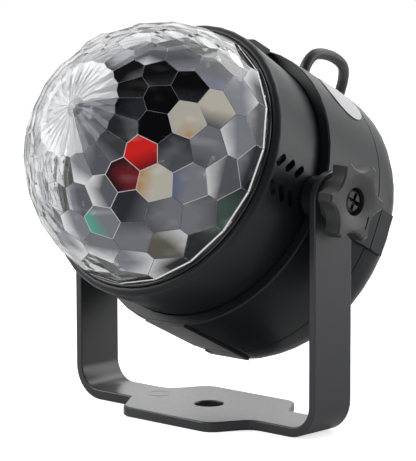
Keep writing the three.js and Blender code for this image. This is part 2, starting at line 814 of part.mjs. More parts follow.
function driverChip() {
  return box([chipX - chipWidth / 2, chipY - chipHeight / 2, controlTop],
    [chipX + chipWidth / 2, chipY + chipHeight / 2, controlTop + chipThickness]);
}

function cordConnector() {
  return box([-connectorWidth / 2, connectorY - connectorHeight / 2, controlTop],
    [connectorWidth / 2, connectorY + connectorHeight / 2, controlTop + connectorThickness]);
}

function wireBetween(start, end) {
  const lead = 3 * wireRadius;
  const under = -motorBottom - clearance; // a wire turns to the connector below the motor
  const points = [
    start,
    [start[0], start[1], start[2] - lead],
    [start[0], start[1], (2 * under + end[2]) / 3],
    [end[0], end[1], (under + 2 * end[2]) / 3],
    [end[0], end[1], end[2] + lead],
    end,
  ];
  return tube(points.map((point) => new THREE.Vector3(...point)), wireRadius, coilSides, wireSteps);
}

const connectorFace = controlTop + connectorThickness + clearance;

function motorWire() {
  return wireBetween([0, motorWireY, -motorBottom - clearance], [-wireSpread, connectorY, connectorFace]);
}

function lampWire() {
  return wireBetween([ledWireX, ledWireY, lampBoardBottom - clearance], [wireSpread, connectorY, connectorFace]);
}

const reliefFlangeTop = Math.sqrt(tongueInner ** 2 - reliefFlangeRadius ** 2) - clearance;
const reliefBottom = reliefFlangeTop - reliefFlangeThickness - reliefInside;
const reliefTop = bodyRadius + reliefProud;

function cordRelief() {
  return turned([
    [0, reliefBottom],
    [reliefRadius, reliefBottom],
    [reliefRadius, reliefFlangeTop - reliefFlangeThickness],
    [reliefFlangeRadius, reliefFlangeTop - reliefFlangeThickness],
    [reliefFlangeRadius, reliefFlangeTop],
    [reliefRadius, reliefFlangeTop],
    [reliefRadius, reliefTop],
    [0, reliefTop],
  ], smallSteps).rotateX(-quarterTurn).translate(0, 0, -seamBack);
}

function innerCord() {
  return rodUp(cordRadius, connectorY + connectorHeight / 2 + clearance, reliefBottom - clearance, cordSides)
    .translate(0, 0, -seamBack);
}

// Knobs, on the right. The left ones are turned half a turn about the dome's axis.
function knobOutline() {
  const spread = knobTipHalfWidth / knobTipRadius;
  const shape = new THREE.Shape();
  const corner = (angle) => new THREE.Vector2(
    -knobTipRadius * Math.cos(angle),
    knobTipRadius * Math.sin(angle),
  );
  for (let k = 0; k < knobLobes; k += 1) {
    const tip = knobPhase + (fullTurn * k) / knobLobes;
    const waist = tip + Math.PI / knobLobes;
    const [start, end] = [corner(tip + spread), corner(tip + fullTurn / knobLobes - spread)];
    const middle = new THREE.Vector2(-Math.cos(waist), Math.sin(waist)).multiplyScalar(2 * knobWaistRadius);
    const pull = middle.sub(start.clone().add(end).multiplyScalar(1 / 2));
    if (k === 0) shape.moveTo(start.x, start.y);
    else shape.lineTo(start.x, start.y);
    shape.quadraticCurveTo(pull.x, pull.y, end.x, end.y);
  }
  return shape;
}

function knob() {
  const starBase = knobBase + knobNeckLength;
  const star = new THREE.ExtrudeGeometry(knobOutline(), {
    depth: knobStarThickness - 2 * knobEdge,
    bevelThickness: knobEdge,
    bevelSize: knobEdge,
    bevelOffset: -knobEdge,
    bevelSegments: 1,
    curveSegments: 5,
  }).rotateY(quarterTurn).translate(starBase + knobEdge, 0, 0);
  const neck = rodAcross(knobNeckRadius, knobBase, starBase + knobEdge);
  const dish = turned([
    [0, knobFace - knobDishDepth],
    [knobRecessRadius, knobFace - knobDishDepth],
    [knobDishRadius, knobFace],
    [knobDishRadius, knobFace + cutOverrun],
    [0, knobFace + cutOverrun],
  ], knobSteps).rotateY(quarterTurn);
  const recess = rodAcross(knobRecessRadius, knobFace - knobRecessDepth, knobFace + cutOverrun, knobSteps);
  const bore = rodAcross(knobScrewRadius + clearance, knobBase - cutOverrun, knobFace);
  const mark = box(
    [knobFace - knobMarkDepth, knobMarkLow, -knobMarkOut - knobMarkWidth / 2],
    [knobFace + cutOverrun, knobMarkHigh, knobMarkWidth / 2 - knobMarkOut],
  );
  return cut(join(star, neck), dish, recess, bore, mark);
}

function knobScrew() {
  const underHead = knobFace - knobRecessDepth + clearance;
  return screw(knobScrewRadius, underHead - earInside - clearance, knobScrewHead, knobScrewHeadHeight)
    .rotateY(quarterTurn).translate(underHead, 0, 0);
}

function pivotNut() {
  const high = earFace - nutFloor - clearance;
  const body = hexagonRod(nutAcrossFlats, high - nutThickness, high);
  return cut(body, rodAcross(knobScrewRadius + clearance, high - nutThickness - cutOverrun, high + cutOverrun));
}

// Cord. Points are measured from under the tilt axis.
function tiltedPoint(y, z) {
  const up = new THREE.Vector3(0, Math.sin(restTilt), Math.cos(restTilt));
  const forward = new THREE.Vector3(0, -Math.cos(restTilt), Math.sin(restTilt));
  return up.multiplyScalar(y).addScaledVector(forward, z).add(new THREE.Vector3(0, 0, pivotHeight));
}

function coilPoint(radius, angle, level) {
  const turnAngle = coilStartAngle + angle;
  return new THREE.Vector3(coilX + radius * Math.cos(turnAngle), coilY + radius * Math.sin(turnAngle), level);
}

// The coil runs in and out, a layer higher each time, then rises onto its own top and ends at the plug.
function coilPoints() {
  const points = [];
  const turns = coilLayers * turnsPerLayer;
  for (let i = 0; i <= turns * turnSteps; i += 1) {
    const t = i / turnSteps;
    const layer = Math.min(Math.floor(t / turnsPerLayer), coilLayers - 1);
    const part = t - layer * turnsPerLayer;
    const inward = layer % 2 === 0 ? part : turnsPerLayer - part;
    let climb = 0;
    for (let k = 1; k < coilLayers; k += 1) {
      climb += THREE.MathUtils.smoothstep(t, k * turnsPerLayer - 1 / 4, k * turnsPerLayer + 1 / 4);
    }
    points.push(coilPoint(coilOuter - cordPitch * inward, t * fullTurn, coilBase + cordPitch * climb));
  }
  const start = coilBase + cordPitch * (coilLayers - 1);
  for (let i = 1; i <= turnSteps / 2; i += 1) {
    const rise = THREE.MathUtils.smoothstep(i / turnSteps, 0, 1 / 2);
    points.push(coilPoint(coilOuter, (fullTurn * i) / turnSteps, start + (plugLevel - start) * rise));
  }
  const heading = coilStartAngle + Math.PI;
  const inner = coilOuter - coilTailRadius;
  const centre = [coilX + inner * Math.cos(heading), coilY + inner * Math.sin(heading)];
  const bend = arc(centre[0], centre[1], coilTailRadius, heading, heading + quarterTurn);
  bend.slice(1).forEach(([x, y]) => points.push(new THREE.Vector3(x, y, plugLevel)));
  const away = new THREE.Vector3(Math.cos(coilStartAngle), Math.sin(coilStartAngle), 0);
  points.push(points[points.length - 1].clone().addScaledVector(away, cordDiameter));
  return points;
}

function coil() {
  const points = coilPoints();
  const positions = [];
  const faces = [];
  points.forEach((point, i) => {
    const before = points[Math.max(i - 1, 0)];
    const after = points[Math.min(i + 1, points.length - 1)];
    const ahead = after.clone().sub(before).normalize();
    const side = new THREE.Vector3(ahead.y, -ahead.x, 0).normalize();
    const up = side.clone().cross(ahead);
    for (let k = 0; k < coilSides; k += 1) {
      const angle = (fullTurn * k) / coilSides;
      const corner = point.clone().addScaledVector(side, cordRadius * Math.cos(angle))
        .addScaledVector(up, cordRadius * Math.sin(angle));
      positions.push(corner.x, corner.y, corner.z);
    }
  });
  for (let i = 0; i + 1 < points.length; i += 1) {
    for (let k = 0; k < coilSides; k += 1) {
      const next = (k + 1) % coilSides;
      const [a, b] = [i * coilSides, (i + 1) * coilSides];
      faces.push(a + k, b + next, a + next, a + k, b + k, b + next);
    }
  }
  const last = (points.length - 1) * coilSides;
  for (let k = 1; k + 1 < coilSides; k += 1) {
    faces.push(0, k, k + 1, last, last + k + 1, last + k);
  }
  const geometry = new THREE.BufferGeometry();
  geometry.setAttribute('position', new THREE.BufferAttribute(new Float32Array(positions), 3));
  geometry.setIndex(faces);
  return geometry;
}

// The free cord starts square to its relief and ends square to the coil.
function cordPoints() {
  const exit = (distance) => tiltedPoint(reliefTop + clearance + distance, -seamBack);
  const ahead = new THREE.Vector3(-Math.sin(coilStartAngle), Math.cos(coilStartAngle), 0);
  const meet = coilPoint(coilOuter, 0, coilBase);
  const entry = (distance) => meet.clone().addScaledVector(ahead, -clearance - distance);
  const nearStraight = cordDiameter + clearance;
  return [
    exit(0),
    exit(cordDiameter),
    exit(nearStraight),
    ...cordArch.map((step) => exit(0).add(new THREE.Vector3(...step))),
    ...cordFall.map(([x, y, z]) => new THREE.Vector3(x, bodyRadius + y, z)),
    entry(nearStraight),
    entry(cordDiameter),
    entry(0),
  ];
}

function cordTube() {
  return tube(cordPoints(), cordRadius, cordSides, cordSteps);
}

function coilTie() {
  const rim = clearance + tieThickness;
  const inside = [coilInner - cordRadius - clearance, coilOuter + cordRadius + clearance];
  const high = coilTop + clearance;
  const outer = box(
    [inside[0] - tieThickness, -tieWidth / 2, 0],
    [inside[1] + tieThickness, tieWidth / 2, coilTop + rim],
  );
  const hole = box([inside[0], -tieWidth, tieThickness], [inside[1], tieWidth, high]);
  return cut(outer, hole).rotateZ(coilStartAngle + tieAngle).translate(coilX, coilY, 0);
}

// The plug lies on the coil. It is built along +X from the end of the cord.
function placePlug(geometry) {
  const points = coilPoints();
  const end = points[points.length - 1];
  return geometry.rotateZ(coilStartAngle).translate(end.x, end.y, end.z);
}

function plugGrip() {
  const half = gripWidth / 2 - gripRound;
  const neck = half * (1 - gripNeckShare);
  const back = clearance + gripRound;
  const front = clearance + gripLength - gripRound;
  const points = [[back, -neck], [back + gripNeckShare * gripLength, -half], [front, -half],
    [front, half], [back + gripNeckShare * gripLength, half], [back, neck]];
  const grip = new THREE.ExtrudeGeometry(outline(points), {
    depth: gripHeight - 2 * gripRound,
    bevelThickness: gripRound,
    bevelSize: gripRound,
    bevelSegments: 2,
  }).translate(0, 0, gripRound - gripHeight / 2);
  return placePlug(grip);
}

const contactStart = gripLength + 2 * clearance;

function plugContact() {
  const outer = box([contactStart, -contactWidth / 2, -contactHeight / 2],
    [contactStart + contactLength, contactWidth / 2, contactHeight / 2]);
  const inner = box(
    [contactStart + contactFloor, contactWall - contactWidth / 2, contactWall - contactHeight / 2],
    [contactStart + contactLength + cutOverrun, contactWidth / 2 - contactWall, contactHeight / 2 - contactWall],
  );
  return placePlug(cut(outer, inner));
}

function plugTongue() {
  const wide = contactWidth / 2 - contactWall - clearance;
  const high = contactHeight / 2 - contactWall - clearance;
  return placePlug(box([contactStart + contactFloor + clearance, -wide, high - tongueHeight],
    [contactStart + contactLength - clearance, wide, high]));
}

// Finishes
function finish(colour, roughness, metalness = 0) {
  return new THREE.MeshStandardMaterial({ color: colour, roughness, metalness });
}

const light = new THREE.Group();
const head = new THREE.Group();
head.position.set(0, 0, pivotHeight);
head.rotation.x = quarterTurn - restTilt;
light.add(head);

function addPiece(parent, name, geometry, material) {
  const bare = geometry.index ? geometry.toNonIndexed() : geometry;
  bare.computeVertexNormals();
  const mesh = new THREE.Mesh(bare, material);
  mesh.name = name;
  parent.add(mesh);
}

function addEach(name, places, make, material) {
  places.forEach((place, k) => addPiece(head, `${name}_${k + 1}`, make(place), material.clone()));
}

const blackSteel = finish(0x3a3a3d, 0.42, 0.3);
const blackPlastic = finish(0x2c2c2e, 0.5);
const glossBlack = finish(0x0b0b0c, 0.12);
const screwSteel = finish(0xa9abae, 0.3, 0.9);
const boardGreen = finish(0x1d5a38, 0.55);

addPiece(light, 'bracket', bracket(), blackSteel);
addPiece(head, 'front_shell', frontShell(), blackPlastic.clone());
addPiece(head, 'body_shell', bodyShell(), blackPlastic.clone());
addPiece(head, 'back_cover', backCover(), blackPlastic.clone());
addPiece(head, 'bezel_ring', bezelRing(), glossBlack);
addPiece(head, 'dome', dome(), finish(0x50545a, 0.15));
addPiece(head, 'motor_shaft', motorShaft(), screwSteel.clone());
addPiece(head, 'reflector_plate', reflectorPlate(), finish(0x232326, 0.35));
addPiece(head, 'lamp_board', lampBoard(), boardGreen);
addPiece(head, 'gear_motor', gearMotor(), finish(0x1b1b1d, 0.45));
const lampColours = [['red', 0xd02222], ['green', 0x1fb04a], ['blue', 0x2244cc]];
lampColours.forEach(([name, colour], k) => {
  addPiece(head, `lamp_${name}`, lamp(ledPlaces[k]), finish(colour, 0.25));
});
addEach('deck_screw', deckPlaces, deckScrew, screwSteel);
addEach('motor_screw', motorScrewPlaces, deckScrew, screwSteel);
addEach('shell_screw', bossPlaces, shellScrew, screwSteel);
addPiece(head, 'control_board', controlBoard(), boardGreen.clone());
addEach('board_screw', boardScrewPlaces, boardScrew, screwSteel);
addPiece(head, 'capacitor', capacitor(), finish(0x27304a, 0.35));
addPiece(head, 'driver_chip', driverChip(), finish(0x141416, 0.6));
addPiece(head, 'cord_connector', cordConnector(), finish(0xe6e2d6, 0.5));
addPiece(head, 'motor_wire', motorWire(), finish(0xb02a22, 0.5));
addPiece(head, 'lamp_wire', lampWire(), finish(0xd9c23a, 0.5));
addPiece(head, 'cord_relief', cordRelief(), finish(0x1a1a1c, 0.6));
addPiece(head, 'inner_cord', innerCord(), finish(0x161618, 0.6));
addPiece(head, 'knob_right', knob(), blackPlastic.clone());
addPiece(head, 'knob_left', knob().rotateZ(Math.PI), blackPlastic.clone());
addPiece(head, 'knob_screw_right', knobScrew(), screwSteel.clone());
addPiece(head, 'knob_screw_left', knobScrew().rotateZ(Math.PI), screwSteel.clone());
addPiece(head, 'pivot_nut_right', pivotNut(), screwSteel.clone());
addPiece(head, 'pivot_nut_left', pivotNut().rotateZ(Math.PI), screwSteel.clone());

// The floor point under the middle of the light is the origin. The cord is added after that is found.
light.updateMatrixWorld(true);
const extent = new THREE.Box3().setFromObject(light, true);
light.position.y = -(extent.min.y + extent.max.y) / 2;

addPiece(light, 'cord_tube', cordTube(), finish(0x151517, 0.55));
addPiece(light, 'cord_coil', coil(), finish(0x151517, 0.55));
addPiece(light, 'coil_tie', coilTie(), finish(0x0f0f10, 0.5));
addPiece(light, 'plug_grip', plugGrip(), finish(0x151517, 0.5));
addPiece(light, 'plug_contact', plugContact(), finish(0xc4c6c8, 0.3, 0.9));
addPiece(light, 'plug_tongue', plugTongue(), finish(0xe9e9e6, 0.5));

export default light;
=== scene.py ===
"""A small disco ball light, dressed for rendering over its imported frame.

The frame is in metres: +Z up, +X along the tilt axis, and the dome towards -Y. Each sub-assembly is
a class that builds its own meshes and finishes. Its sizes are in millimetres where MM isn't named.
"""

import logging
import math
from contextlib import contextmanager
from dataclasses import asdict, dataclass, field
from enum import Enum
from typing import Any, Callable, Iterable, Iterator, Sequence

import bmesh
import bpy
from mathutils import Matrix, Vector


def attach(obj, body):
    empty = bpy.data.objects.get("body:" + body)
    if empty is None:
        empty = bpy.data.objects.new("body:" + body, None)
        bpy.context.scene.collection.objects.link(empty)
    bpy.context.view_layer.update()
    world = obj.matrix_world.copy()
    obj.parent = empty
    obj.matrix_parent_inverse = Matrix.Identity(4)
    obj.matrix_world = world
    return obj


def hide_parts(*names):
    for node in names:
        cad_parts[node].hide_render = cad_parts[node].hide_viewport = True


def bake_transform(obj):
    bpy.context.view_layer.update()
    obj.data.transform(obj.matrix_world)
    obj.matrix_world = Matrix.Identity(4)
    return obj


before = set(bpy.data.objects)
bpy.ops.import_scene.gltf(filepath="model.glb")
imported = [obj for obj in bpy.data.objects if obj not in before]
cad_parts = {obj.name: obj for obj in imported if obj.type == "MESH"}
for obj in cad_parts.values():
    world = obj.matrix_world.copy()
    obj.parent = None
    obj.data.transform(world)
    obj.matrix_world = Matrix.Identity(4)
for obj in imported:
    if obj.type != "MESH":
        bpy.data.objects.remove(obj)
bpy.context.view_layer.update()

LOG = logging.getLogger("disco_light")

Colour = tuple[float, float, float]
Shade = tuple[float, float, float, float]
Place = tuple[float, float, float]

MM = 0.001
TO_METRES = Matrix.Scale(MM, 4)
PIVOT = Vector((0.0, 4.245, 70.05)) * MM
REST_TILT = math.radians(26.4)
TILTED = Matrix.Rotation(math.pi / 2 - REST_TILT, 4, "X")
HEAD = Matrix.Translation(PIVOT) @ TILTED
WHITE = (1.0, 1.0, 1.0, 1.0)
BLACK = (0.0, 0.0, 0.0, 1.0)


class Body(Enum):
    """The moving bodies of the frame."""

    BASE = "base"
    HEAD = "head"
    DOME = "dome"
    KNOB_RIGHT = "knob_right"
    KNOB_LEFT = "knob_left"


def front_axes(azimuth: float, elevation: float) -> tuple[Vector, Vector, Vector]:
    """The axes of a view of the light.

    Args:
        azimuth: how far round to the light's right the viewer stands, in degrees.
        elevation: how far above the horizon, in degrees.

    Returns:
        The ways to the right, up, and back to the viewer.
    """
    az, el = math.radians(azimuth), math.radians(elevation)
    right = Vector((math.cos(az), math.sin(az), 0.0))
    back = Vector((math.sin(az) * math.cos(el), -math.cos(az) * math.cos(el), math.sin(el)))
    return right, back.cross(right), back


def on_ring(radius: float, azimuth: float, level: float) -> Vector:
    """A point round the head's own axis, at a level along it."""
    return Vector((radius * math.sin(azimuth), radius * math.cos(azimuth), level))


# ---- node trees ----


def operator(operation: str) -> Callable[["Term", Any], "Term"]:
    """The method of a Python operator: a Math node on its term and another term or number."""
    return lambda self, other: self.nodes.math(operation, self, other)


class Term:
    """A socket of a node tree that takes part in Python expressions."""

    def __init__(self, nodes: "Nodes", socket: Any) -> None:
        """Keep the tree and one of its output sockets."""
        self.nodes = nodes
        self.socket = socket

    __add__ = __radd__ = operator("ADD")
    __mul__ = __rmul__ = operator("MULTIPLY")
    __sub__ = operator("SUBTRACT")


class Nodes:
    """A node tree that is being built."""

    def __init__(self, tree: bpy.types.NodeTree) -> None:
        """Clear the tree and start on it."""
        self.tree = tree
        self.tree.nodes.clear()

    def node(self, kind: str, settings: dict[str, Any] | None = None,
             inputs: dict[Any, Any] | None = None, out: Any = 0) -> Term:
        """Add a node, set it and link it.

        Args:
            kind: the node's type.
            settings: properties that are set first.
            inputs: values or terms of its sockets, by name or number.
            out: the output that is returned, by name or number.

        Returns:
            The chosen output.
        """
        made = self.tree.nodes.new(kind)
        for key, value in (settings or {}).items():
            if key == "stops":
                for element, (place, colour) in zip(made.color_ramp.elements, value):
                    element.position = place
                    element.color = colour
            else:
                setattr(made, key, value)
        for key, value in (inputs or {}).items():
            self.feed(made.inputs[key], value)
        return Term(self, made.outputs[out] if len(made.outputs) else None)

    def math(self, operation: str, *given: Any) -> Term:
        """Add a Math node on terms or numbers."""
        return self.node("ShaderNodeMath", {"operation": operation}, dict(enumerate(given)))

    def feed(self, socket: Any, value: Any) -> None:
        """Link or set one socket.

        Args:
            socket: the input socket.
            value: a term, a list of terms that are all linked, or a plain value.
        """
        if isinstance(value, (Term, list)):
            for term in value if isinstance(value, list) else [value]:
                self.tree.links.new(term.socket, socket)
        else:
            socket.default_value = value


class Shader(Nodes):
    """A material that is being built."""

    def __init__(self, name: str) -> None:
        """Start a material of that name with a Principled surface.

        Args:
            name: the material's name.
        """
        self.material = bpy.data.materials.new(name)
        self.material.use_nodes = True
        super().__init__(self.material.node_tree)
        self.output = self.tree.nodes.new("ShaderNodeOutputMaterial")
        self.surface = self.node("ShaderNodeBsdfPrincipled")
        self.show(self.surface)

    def show(self, surface: Term) -> None:
        """Send a surface to the output."""
        self.feed(self.output.inputs["Surface"], surface)

    def set(self, **values: Any) -> None:
        """Set the Principled surface's sockets, named with underscores for spaces."""
        for key, value in values.items():
            self.feed(self.surface.socket.node.inputs[key.replace("_", " ")], value)

    def place(self) -> Term:
        """Object coordinates."""
        return self.node("ShaderNodeTexCoord", out="Object")

    def noise(self, scale: float, detail: float = 2.0, rough: float = 0.5) -> Term:
        """Noise near 0.5, by cycles a metre, octaves, and how much the fine octaves count."""
        return self.node("ShaderNodeTexNoise", {}, {
            "Vector": self.place(), "Scale": scale, "Detail": detail, "Roughness": rough})

    def blend(self, factor: Any, first: Any, second: Any) -> Term:
        """Mix two colours, the first at factor 0 and the second at 1."""
        return self.node("ShaderNodeMix", {"data_type": "RGBA"},
                         {0: factor, 6: first, 7: second}, 2)

    def bump(self, height: Term, strength: float, distance: float) -> Term:
        """The normal of a height from 0 to 1, with the distance that 1 stands for."""
        return self.node("ShaderNodeBump", {}, {
            "Height": height, "Strength": strength, "Distance": distance})


def rgba(colour: Colour, share: float = 1.0) -> Shade:
    """A colour with a factor on it and full alpha."""
    return (colour[0] * share, colour[1] * share, colour[2] * share, 1.0)


# ---- finishes ----


@dataclass(frozen=True)
class Finish:
    """A finish of one colour."""

    name: str
    colour: Colour

    def paint(self, shader: Shader) -> None:
        """Set up the shader; each finish has its own way."""
        raise NotImplementedError

    def material(self) -> bpy.types.Material:
        """Build the material.

        Returns:
            The material.
        """
        shader = Shader(self.name)
        self.paint(shader)
        return shader.material


@dataclass(frozen=True)
class MouldedPlastic(Finish):
    """Plastic from a mould, with a fine spark-eroded grain and a faintly clouded colour."""

    roughness: float = 0.45
    grain: float = 2600.0
    grain_depth: float = 0.03 * MM
    grain_strength: float = 0.25
    gloss: float = 0.5
    grain_detail: float = 0.6
    grain_swing: float = 0.1
    cloud: float = 38.0
    cloud_octaves: float = 3.0
    cloud_swing: float = 0.12

    def paint(self, shader: Shader) -> None:
        """Cloud the colour and grain the surface.

        Args:
            shader: what is set up.
        """
        cloud = shader.noise(self.cloud, self.cloud_octaves)
        grain = shader.noise(self.grain, 2.0, self.grain_detail)
        shader.set(
            Base_Color=shader.blend(cloud, rgba(self.colour, 1 - self.cloud_swing),
                                    rgba(self.colour, 1 + self.cloud_swing)),
            Roughness=self.roughness - self.grain_swing / 2 + self.grain_swing * grain,
            Normal=shader.bump(grain, self.grain_strength, self.grain_depth),
            Specular_IOR_Level=self.gloss)


@dataclass(frozen=True)
class PowderCoat(MouldedPlastic):
    """Satin powder coat on steel, which has an orange peel in place of the grain."""

    roughness: float = 0.42
    grain: float = 900.0
    grain_depth: float = 0.05 * MM
    grain_strength: float = 0.2
    grain_detail: float = 0.5
    grain_swing: float = 0.08
    cloud: float = 24.0
    cloud_octaves: float = 2.0
    cloud_swing: float = 0.1


@dataclass(frozen=True)
class BrightMetal(Finish):
    """Plated or turned metal with fine marks."""

    roughness: float = 0.25
    marks: float = 1800.0
    marks_swing: float = 0.12
    marks_depth: float = 0.02 * MM
    dull: float = 0.85

    def paint(self, shader: Shader) -> None:
        """Mark the metal."""
        marks = shader.noise(self.marks, 3.0, 0.7)
        shader.set(
            Base_Color=shader.blend(marks, rgba(self.colour, self.dull), rgba(self.colour)),
            Metallic=1.0,
            Roughness=self.roughness - self.marks_swing / 2 + self.marks_swing * marks,
            Normal=shader.bump(marks, 0.1, self.marks_depth))


@dataclass(frozen=True)
class CircuitBoard(Finish):
    """Solder resist over copper runs."""

    runs: float = 160.0
    gap: float = 0.12
    grain: float = 900.0

    def paint(self, shader: Shader) -> None:
        """Lay the runs under the resist.

        Args:
            shader: what is set up.
        """
        runs = shader.node("ShaderNodeTexBrick", {"offset": 0.5}, {
            "Vector": shader.place(), "Scale": self.runs, "Mortar Size": self.gap,
            "Color1": rgba(self.colour), "Color2": rgba(self.colour, 0.9),
            "Mortar": rgba(self.colour, 1.6)})
        grain = shader.noise(self.grain)
        shader.set(Base_Color=shader.blend(0.25 * grain, runs, rgba(self.colour)),
                   Roughness=0.3 + 0.15 * grain)


@dataclass(frozen=True)
class LampLens(Finish):
    """A tinted epoxy lens over its chip."""

    cloud: float = 300.0
    bright: float = 1.25

    def paint(self, shader: Shader) -> None:
        """Tint and gloss the lens."""
        cloud = shader.noise(self.cloud)
        shader.set(
            Base_Color=shader.blend(cloud, rgba(self.colour), rgba(self.colour, self.bright)),
            Roughness=0.08 + 0.04 * cloud, Coat_Weight=0.6, Coat_Roughness=0.04)


@dataclass(frozen=True)
class ClearFacets(Finish):
    """Clear moulded plastic, with painted reflections of the inside and painted highlight streaks
    on its facets.
    """

    # The streaks are painted highlights: near-white streaks mixed into the facets' painted colours.
    streaks: float = 0.28
    streak_scale: float = 80.0
    streak_stretch: Place = (1.0, 1.6, 3.2)
    streak_edges: tuple[float, float] = (0.55, 0.75)
    streak_least: float = 0.06
    streak_gain: float = 2.0
    glass_index: float = 1.49

    def paint(self, shader: Shader) -> None:
        """Mix the facets' painted reflections, from their corners' colours, over the clear plastic,
        with soft painted highlight streaks.

        Args:
            shader: what is set up.
        """
        # seen holds each corner's painted reflection or painted shade, and its alpha is how far
        # that paint covers the clear plastic.
        seen, share = (shader.node("ShaderNodeAttribute", {"attribute_name": "seen"}, out=out)
                       for out in ("Color", "Alpha"))
        streak = shader.node("ShaderNodeTexNoise", {}, {
            "Vector": shader.node("ShaderNodeMapping", {"vector_type": "POINT"}, {
                "Vector": shader.place(), "Scale": self.streak_stretch}),
            "Scale": self.streak_scale, "Detail": 1.0})
        bright = shader.node("ShaderNodeValToRGB", {
            "stops": tuple(zip(self.streak_edges, (BLACK, WHITE)))}, {"Fac": streak})
        # Painted highlight streaks, stronger where the painted colour is lighter.
        glint_amount = self.streaks * bright * (self.streak_least + self.streak_gain * seen)
        shader.set(Base_Color=shader.blend(glint_amount, seen, rgba(self.colour)),
                   Roughness=0.05 + 0.05 * streak, IOR=1.5, Specular_IOR_Level=0.12)
        glass = shader.node("ShaderNodeBsdfPrincipled", {}, {
            "Base Color": rgba(self.colour), "Roughness": 0.02, "Transmission Weight": 1.0,
            "IOR": self.glass_index})
        shader.show(shader.node("ShaderNodeMixShader", {}, {0: share, 1: glass, 2: shader.surface}))


# ---- mesh help ----


def linked(name: str, data: Any) -> bpy.types.Object:
    """Make an object of a mesh, lamp or camera and link it to the scene.

    Args:
        name: the object's name.
        data: what it holds.

    Returns:
        The object.
    """
    made = bpy.data.objects.new(name, data)
    bpy.context.scene.collection.objects.link(made)
    return made


def new_piece(name: str, mesh: bpy.types.Mesh, material: bpy.types.Material, body: Body,
              slot: str, *nodes: str) -> bpy.types.Object:
    """Make an object of a mesh, dress it and hang it on its body.

    Args:
        name: the piece's name.
        mesh: its mesh, in the frame.
        material: its finish.
        body: the body that it rides on.
        slot: a material slot name; not used.
        nodes: the CAD nodes that it stands for.

    Returns:
        The object.
    """
    piece = linked(name, mesh)
    coat(mesh, material)
    if nodes:
        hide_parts(*nodes)
    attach(piece, body.value)
    LOG.info("%s: %d faces on %s", name, len(mesh.polygons), body.value)
    return piece


def coat(mesh: bpy.types.Mesh, material: bpy.types.Material) -> None:
    """Give a mesh one finish."""
    mesh.materials.clear()
    mesh.materials.append(material)


@contextmanager
def editing(mesh: bpy.types.Mesh) -> Iterator[bmesh.types.BMesh]:
    """Open a mesh for editing and write it back afterwards.

    Args:
        mesh: the mesh.

    Yields:
        What is edited.
    """
    made = bmesh.new()
    made.from_mesh(mesh)
    yield made
    made.to_mesh(mesh)
    made.free()


def mesh_from(name: str, points: Iterable[Sequence[float]], faces: Iterable[Sequence[int]],
              matrix: Matrix | None = None) -> bpy.types.Mesh:
    """Make a mesh.

    Args:
        name: the mesh's name.
        points: its vertices.
        faces: its faces, each a list of vertex numbers.
        matrix: what moves it into the frame.

    Returns:
        The mesh.
    """
    mesh = bpy.data.meshes.new(name)
    mesh.from_pydata([tuple(p) for p in points], [], [tuple(f) for f in faces])
    if matrix is not None:
        mesh.transform(matrix)
    mesh.update()
    return mesh


def strip(first: int, second: int, count: int, flip: bool = False) -> Iterator[tuple[int, ...]]:
    """The quads between two closed rings of vertices.

    Args:
        first: the number of the first ring's first vertex.
        second: the same of the second ring.
        count: the vertices of a ring.
        flip: whether the quads face the other way.

    Yields:
        Each quad.
    """
    for k in range(count):
        n = (k + 1) % count
        sides = (first + n, second + n, second + k)
        yield (first + k, *(reversed(sides) if flip else sides))


def closed(mesh: bpy.types.Mesh, merge: float = 1e-7) -> bpy.types.Mesh:
    """Merge a mesh's doubled vertices and turn its faces outwards.

    Args:
        mesh: the mesh.
        merge: how near to each other doubles are.

    Returns:
        The same mesh.
    """
    with editing(mesh) as made:
        bmesh.ops.remove_doubles(made, verts=made.verts, dist=merge)
        bmesh.ops.recalc_face_normals(made, faces=made.faces)
    return mesh


def soften(mesh: bpy.types.Mesh, sharp: float) -> bpy.types.Mesh:
    """Shade a mesh smooth, but for the edges that turn more than an angle.

    Args:
        mesh: the mesh.
        sharp: the angle, in degrees.

    Returns:
        The same mesh.
    """
    with editing(mesh) as made:
        for face in made.faces:
            face.smooth = True
        for edge in made.edges:
            turn = edge.calc_face_angle(0.0)
            edge.smooth = len(edge.link_faces) == 2 and turn < math.radians(sharp)
    return mesh


def baked(holder: bpy.types.Object) -> bpy.types.Mesh:
    """Give what an object's modifiers make as a plain mesh, and remove the object.

    Args:
        holder: the object.

    Returns:
        The mesh.
    """
    seen = holder.evaluated_get(bpy.context.evaluated_depsgraph_get())
    mesh = bpy.data.meshes.new_from_object(seen)
    bpy.data.objects.remove(holder)
    return mesh


def rounded(mesh: bpy.types.Mesh, name: str, bevel: float, steps: int = 2,
            limit: float = 32.0) -> bpy.types.Mesh:
    """Round a mesh's edges.

    Args:
        mesh: the mesh.
        name: the new mesh's name.
        bevel: the width of the rounding.
        steps: its faces across.
        limit: the angle from which an edge is rounded, in degrees.

    Returns:
        The new mesh.
    """
    holder = linked("holder", mesh)
    modifier = holder.modifiers.new("edge", "BEVEL")
    modifier.width = bevel
    modifier.segments = steps
    modifier.limit_method = "ANGLE"
    modifier.angle_limit = math.radians(limit)
    modifier.harden_normals = True
    modifier.use_clamp_overlap = True
    made = baked(holder)
    made.name = name
    return made


def smooth_copy(node: str, bevel: float, sharp: float = 28.0, merge: float = 2e-6,
                flat: float = 0.6) -> bpy.types.Mesh:
    """Copy a CAD node's mesh with joined faces, smooth shading and rounded edges.

    Args:
        node: the CAD node.
        bevel: the width of the rounding.
        sharp: the angle from which an edge stays sharp, in degrees.
        merge: how near to each other doubled vertices are.
        flat: the angle up to which faces are joined, in degrees.

    Returns:
        The mesh.
    """
    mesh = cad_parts[node].data.copy()
    with editing(mesh) as made:
        bmesh.ops.remove_doubles(made, verts=made.verts, dist=merge)
        bmesh.ops.dissolve_limit(made, angle_limit=math.radians(flat), verts=made.verts,
                                 edges=made.edges)
    return rounded(soften(mesh, sharp), f"{node}_smooth", bevel)


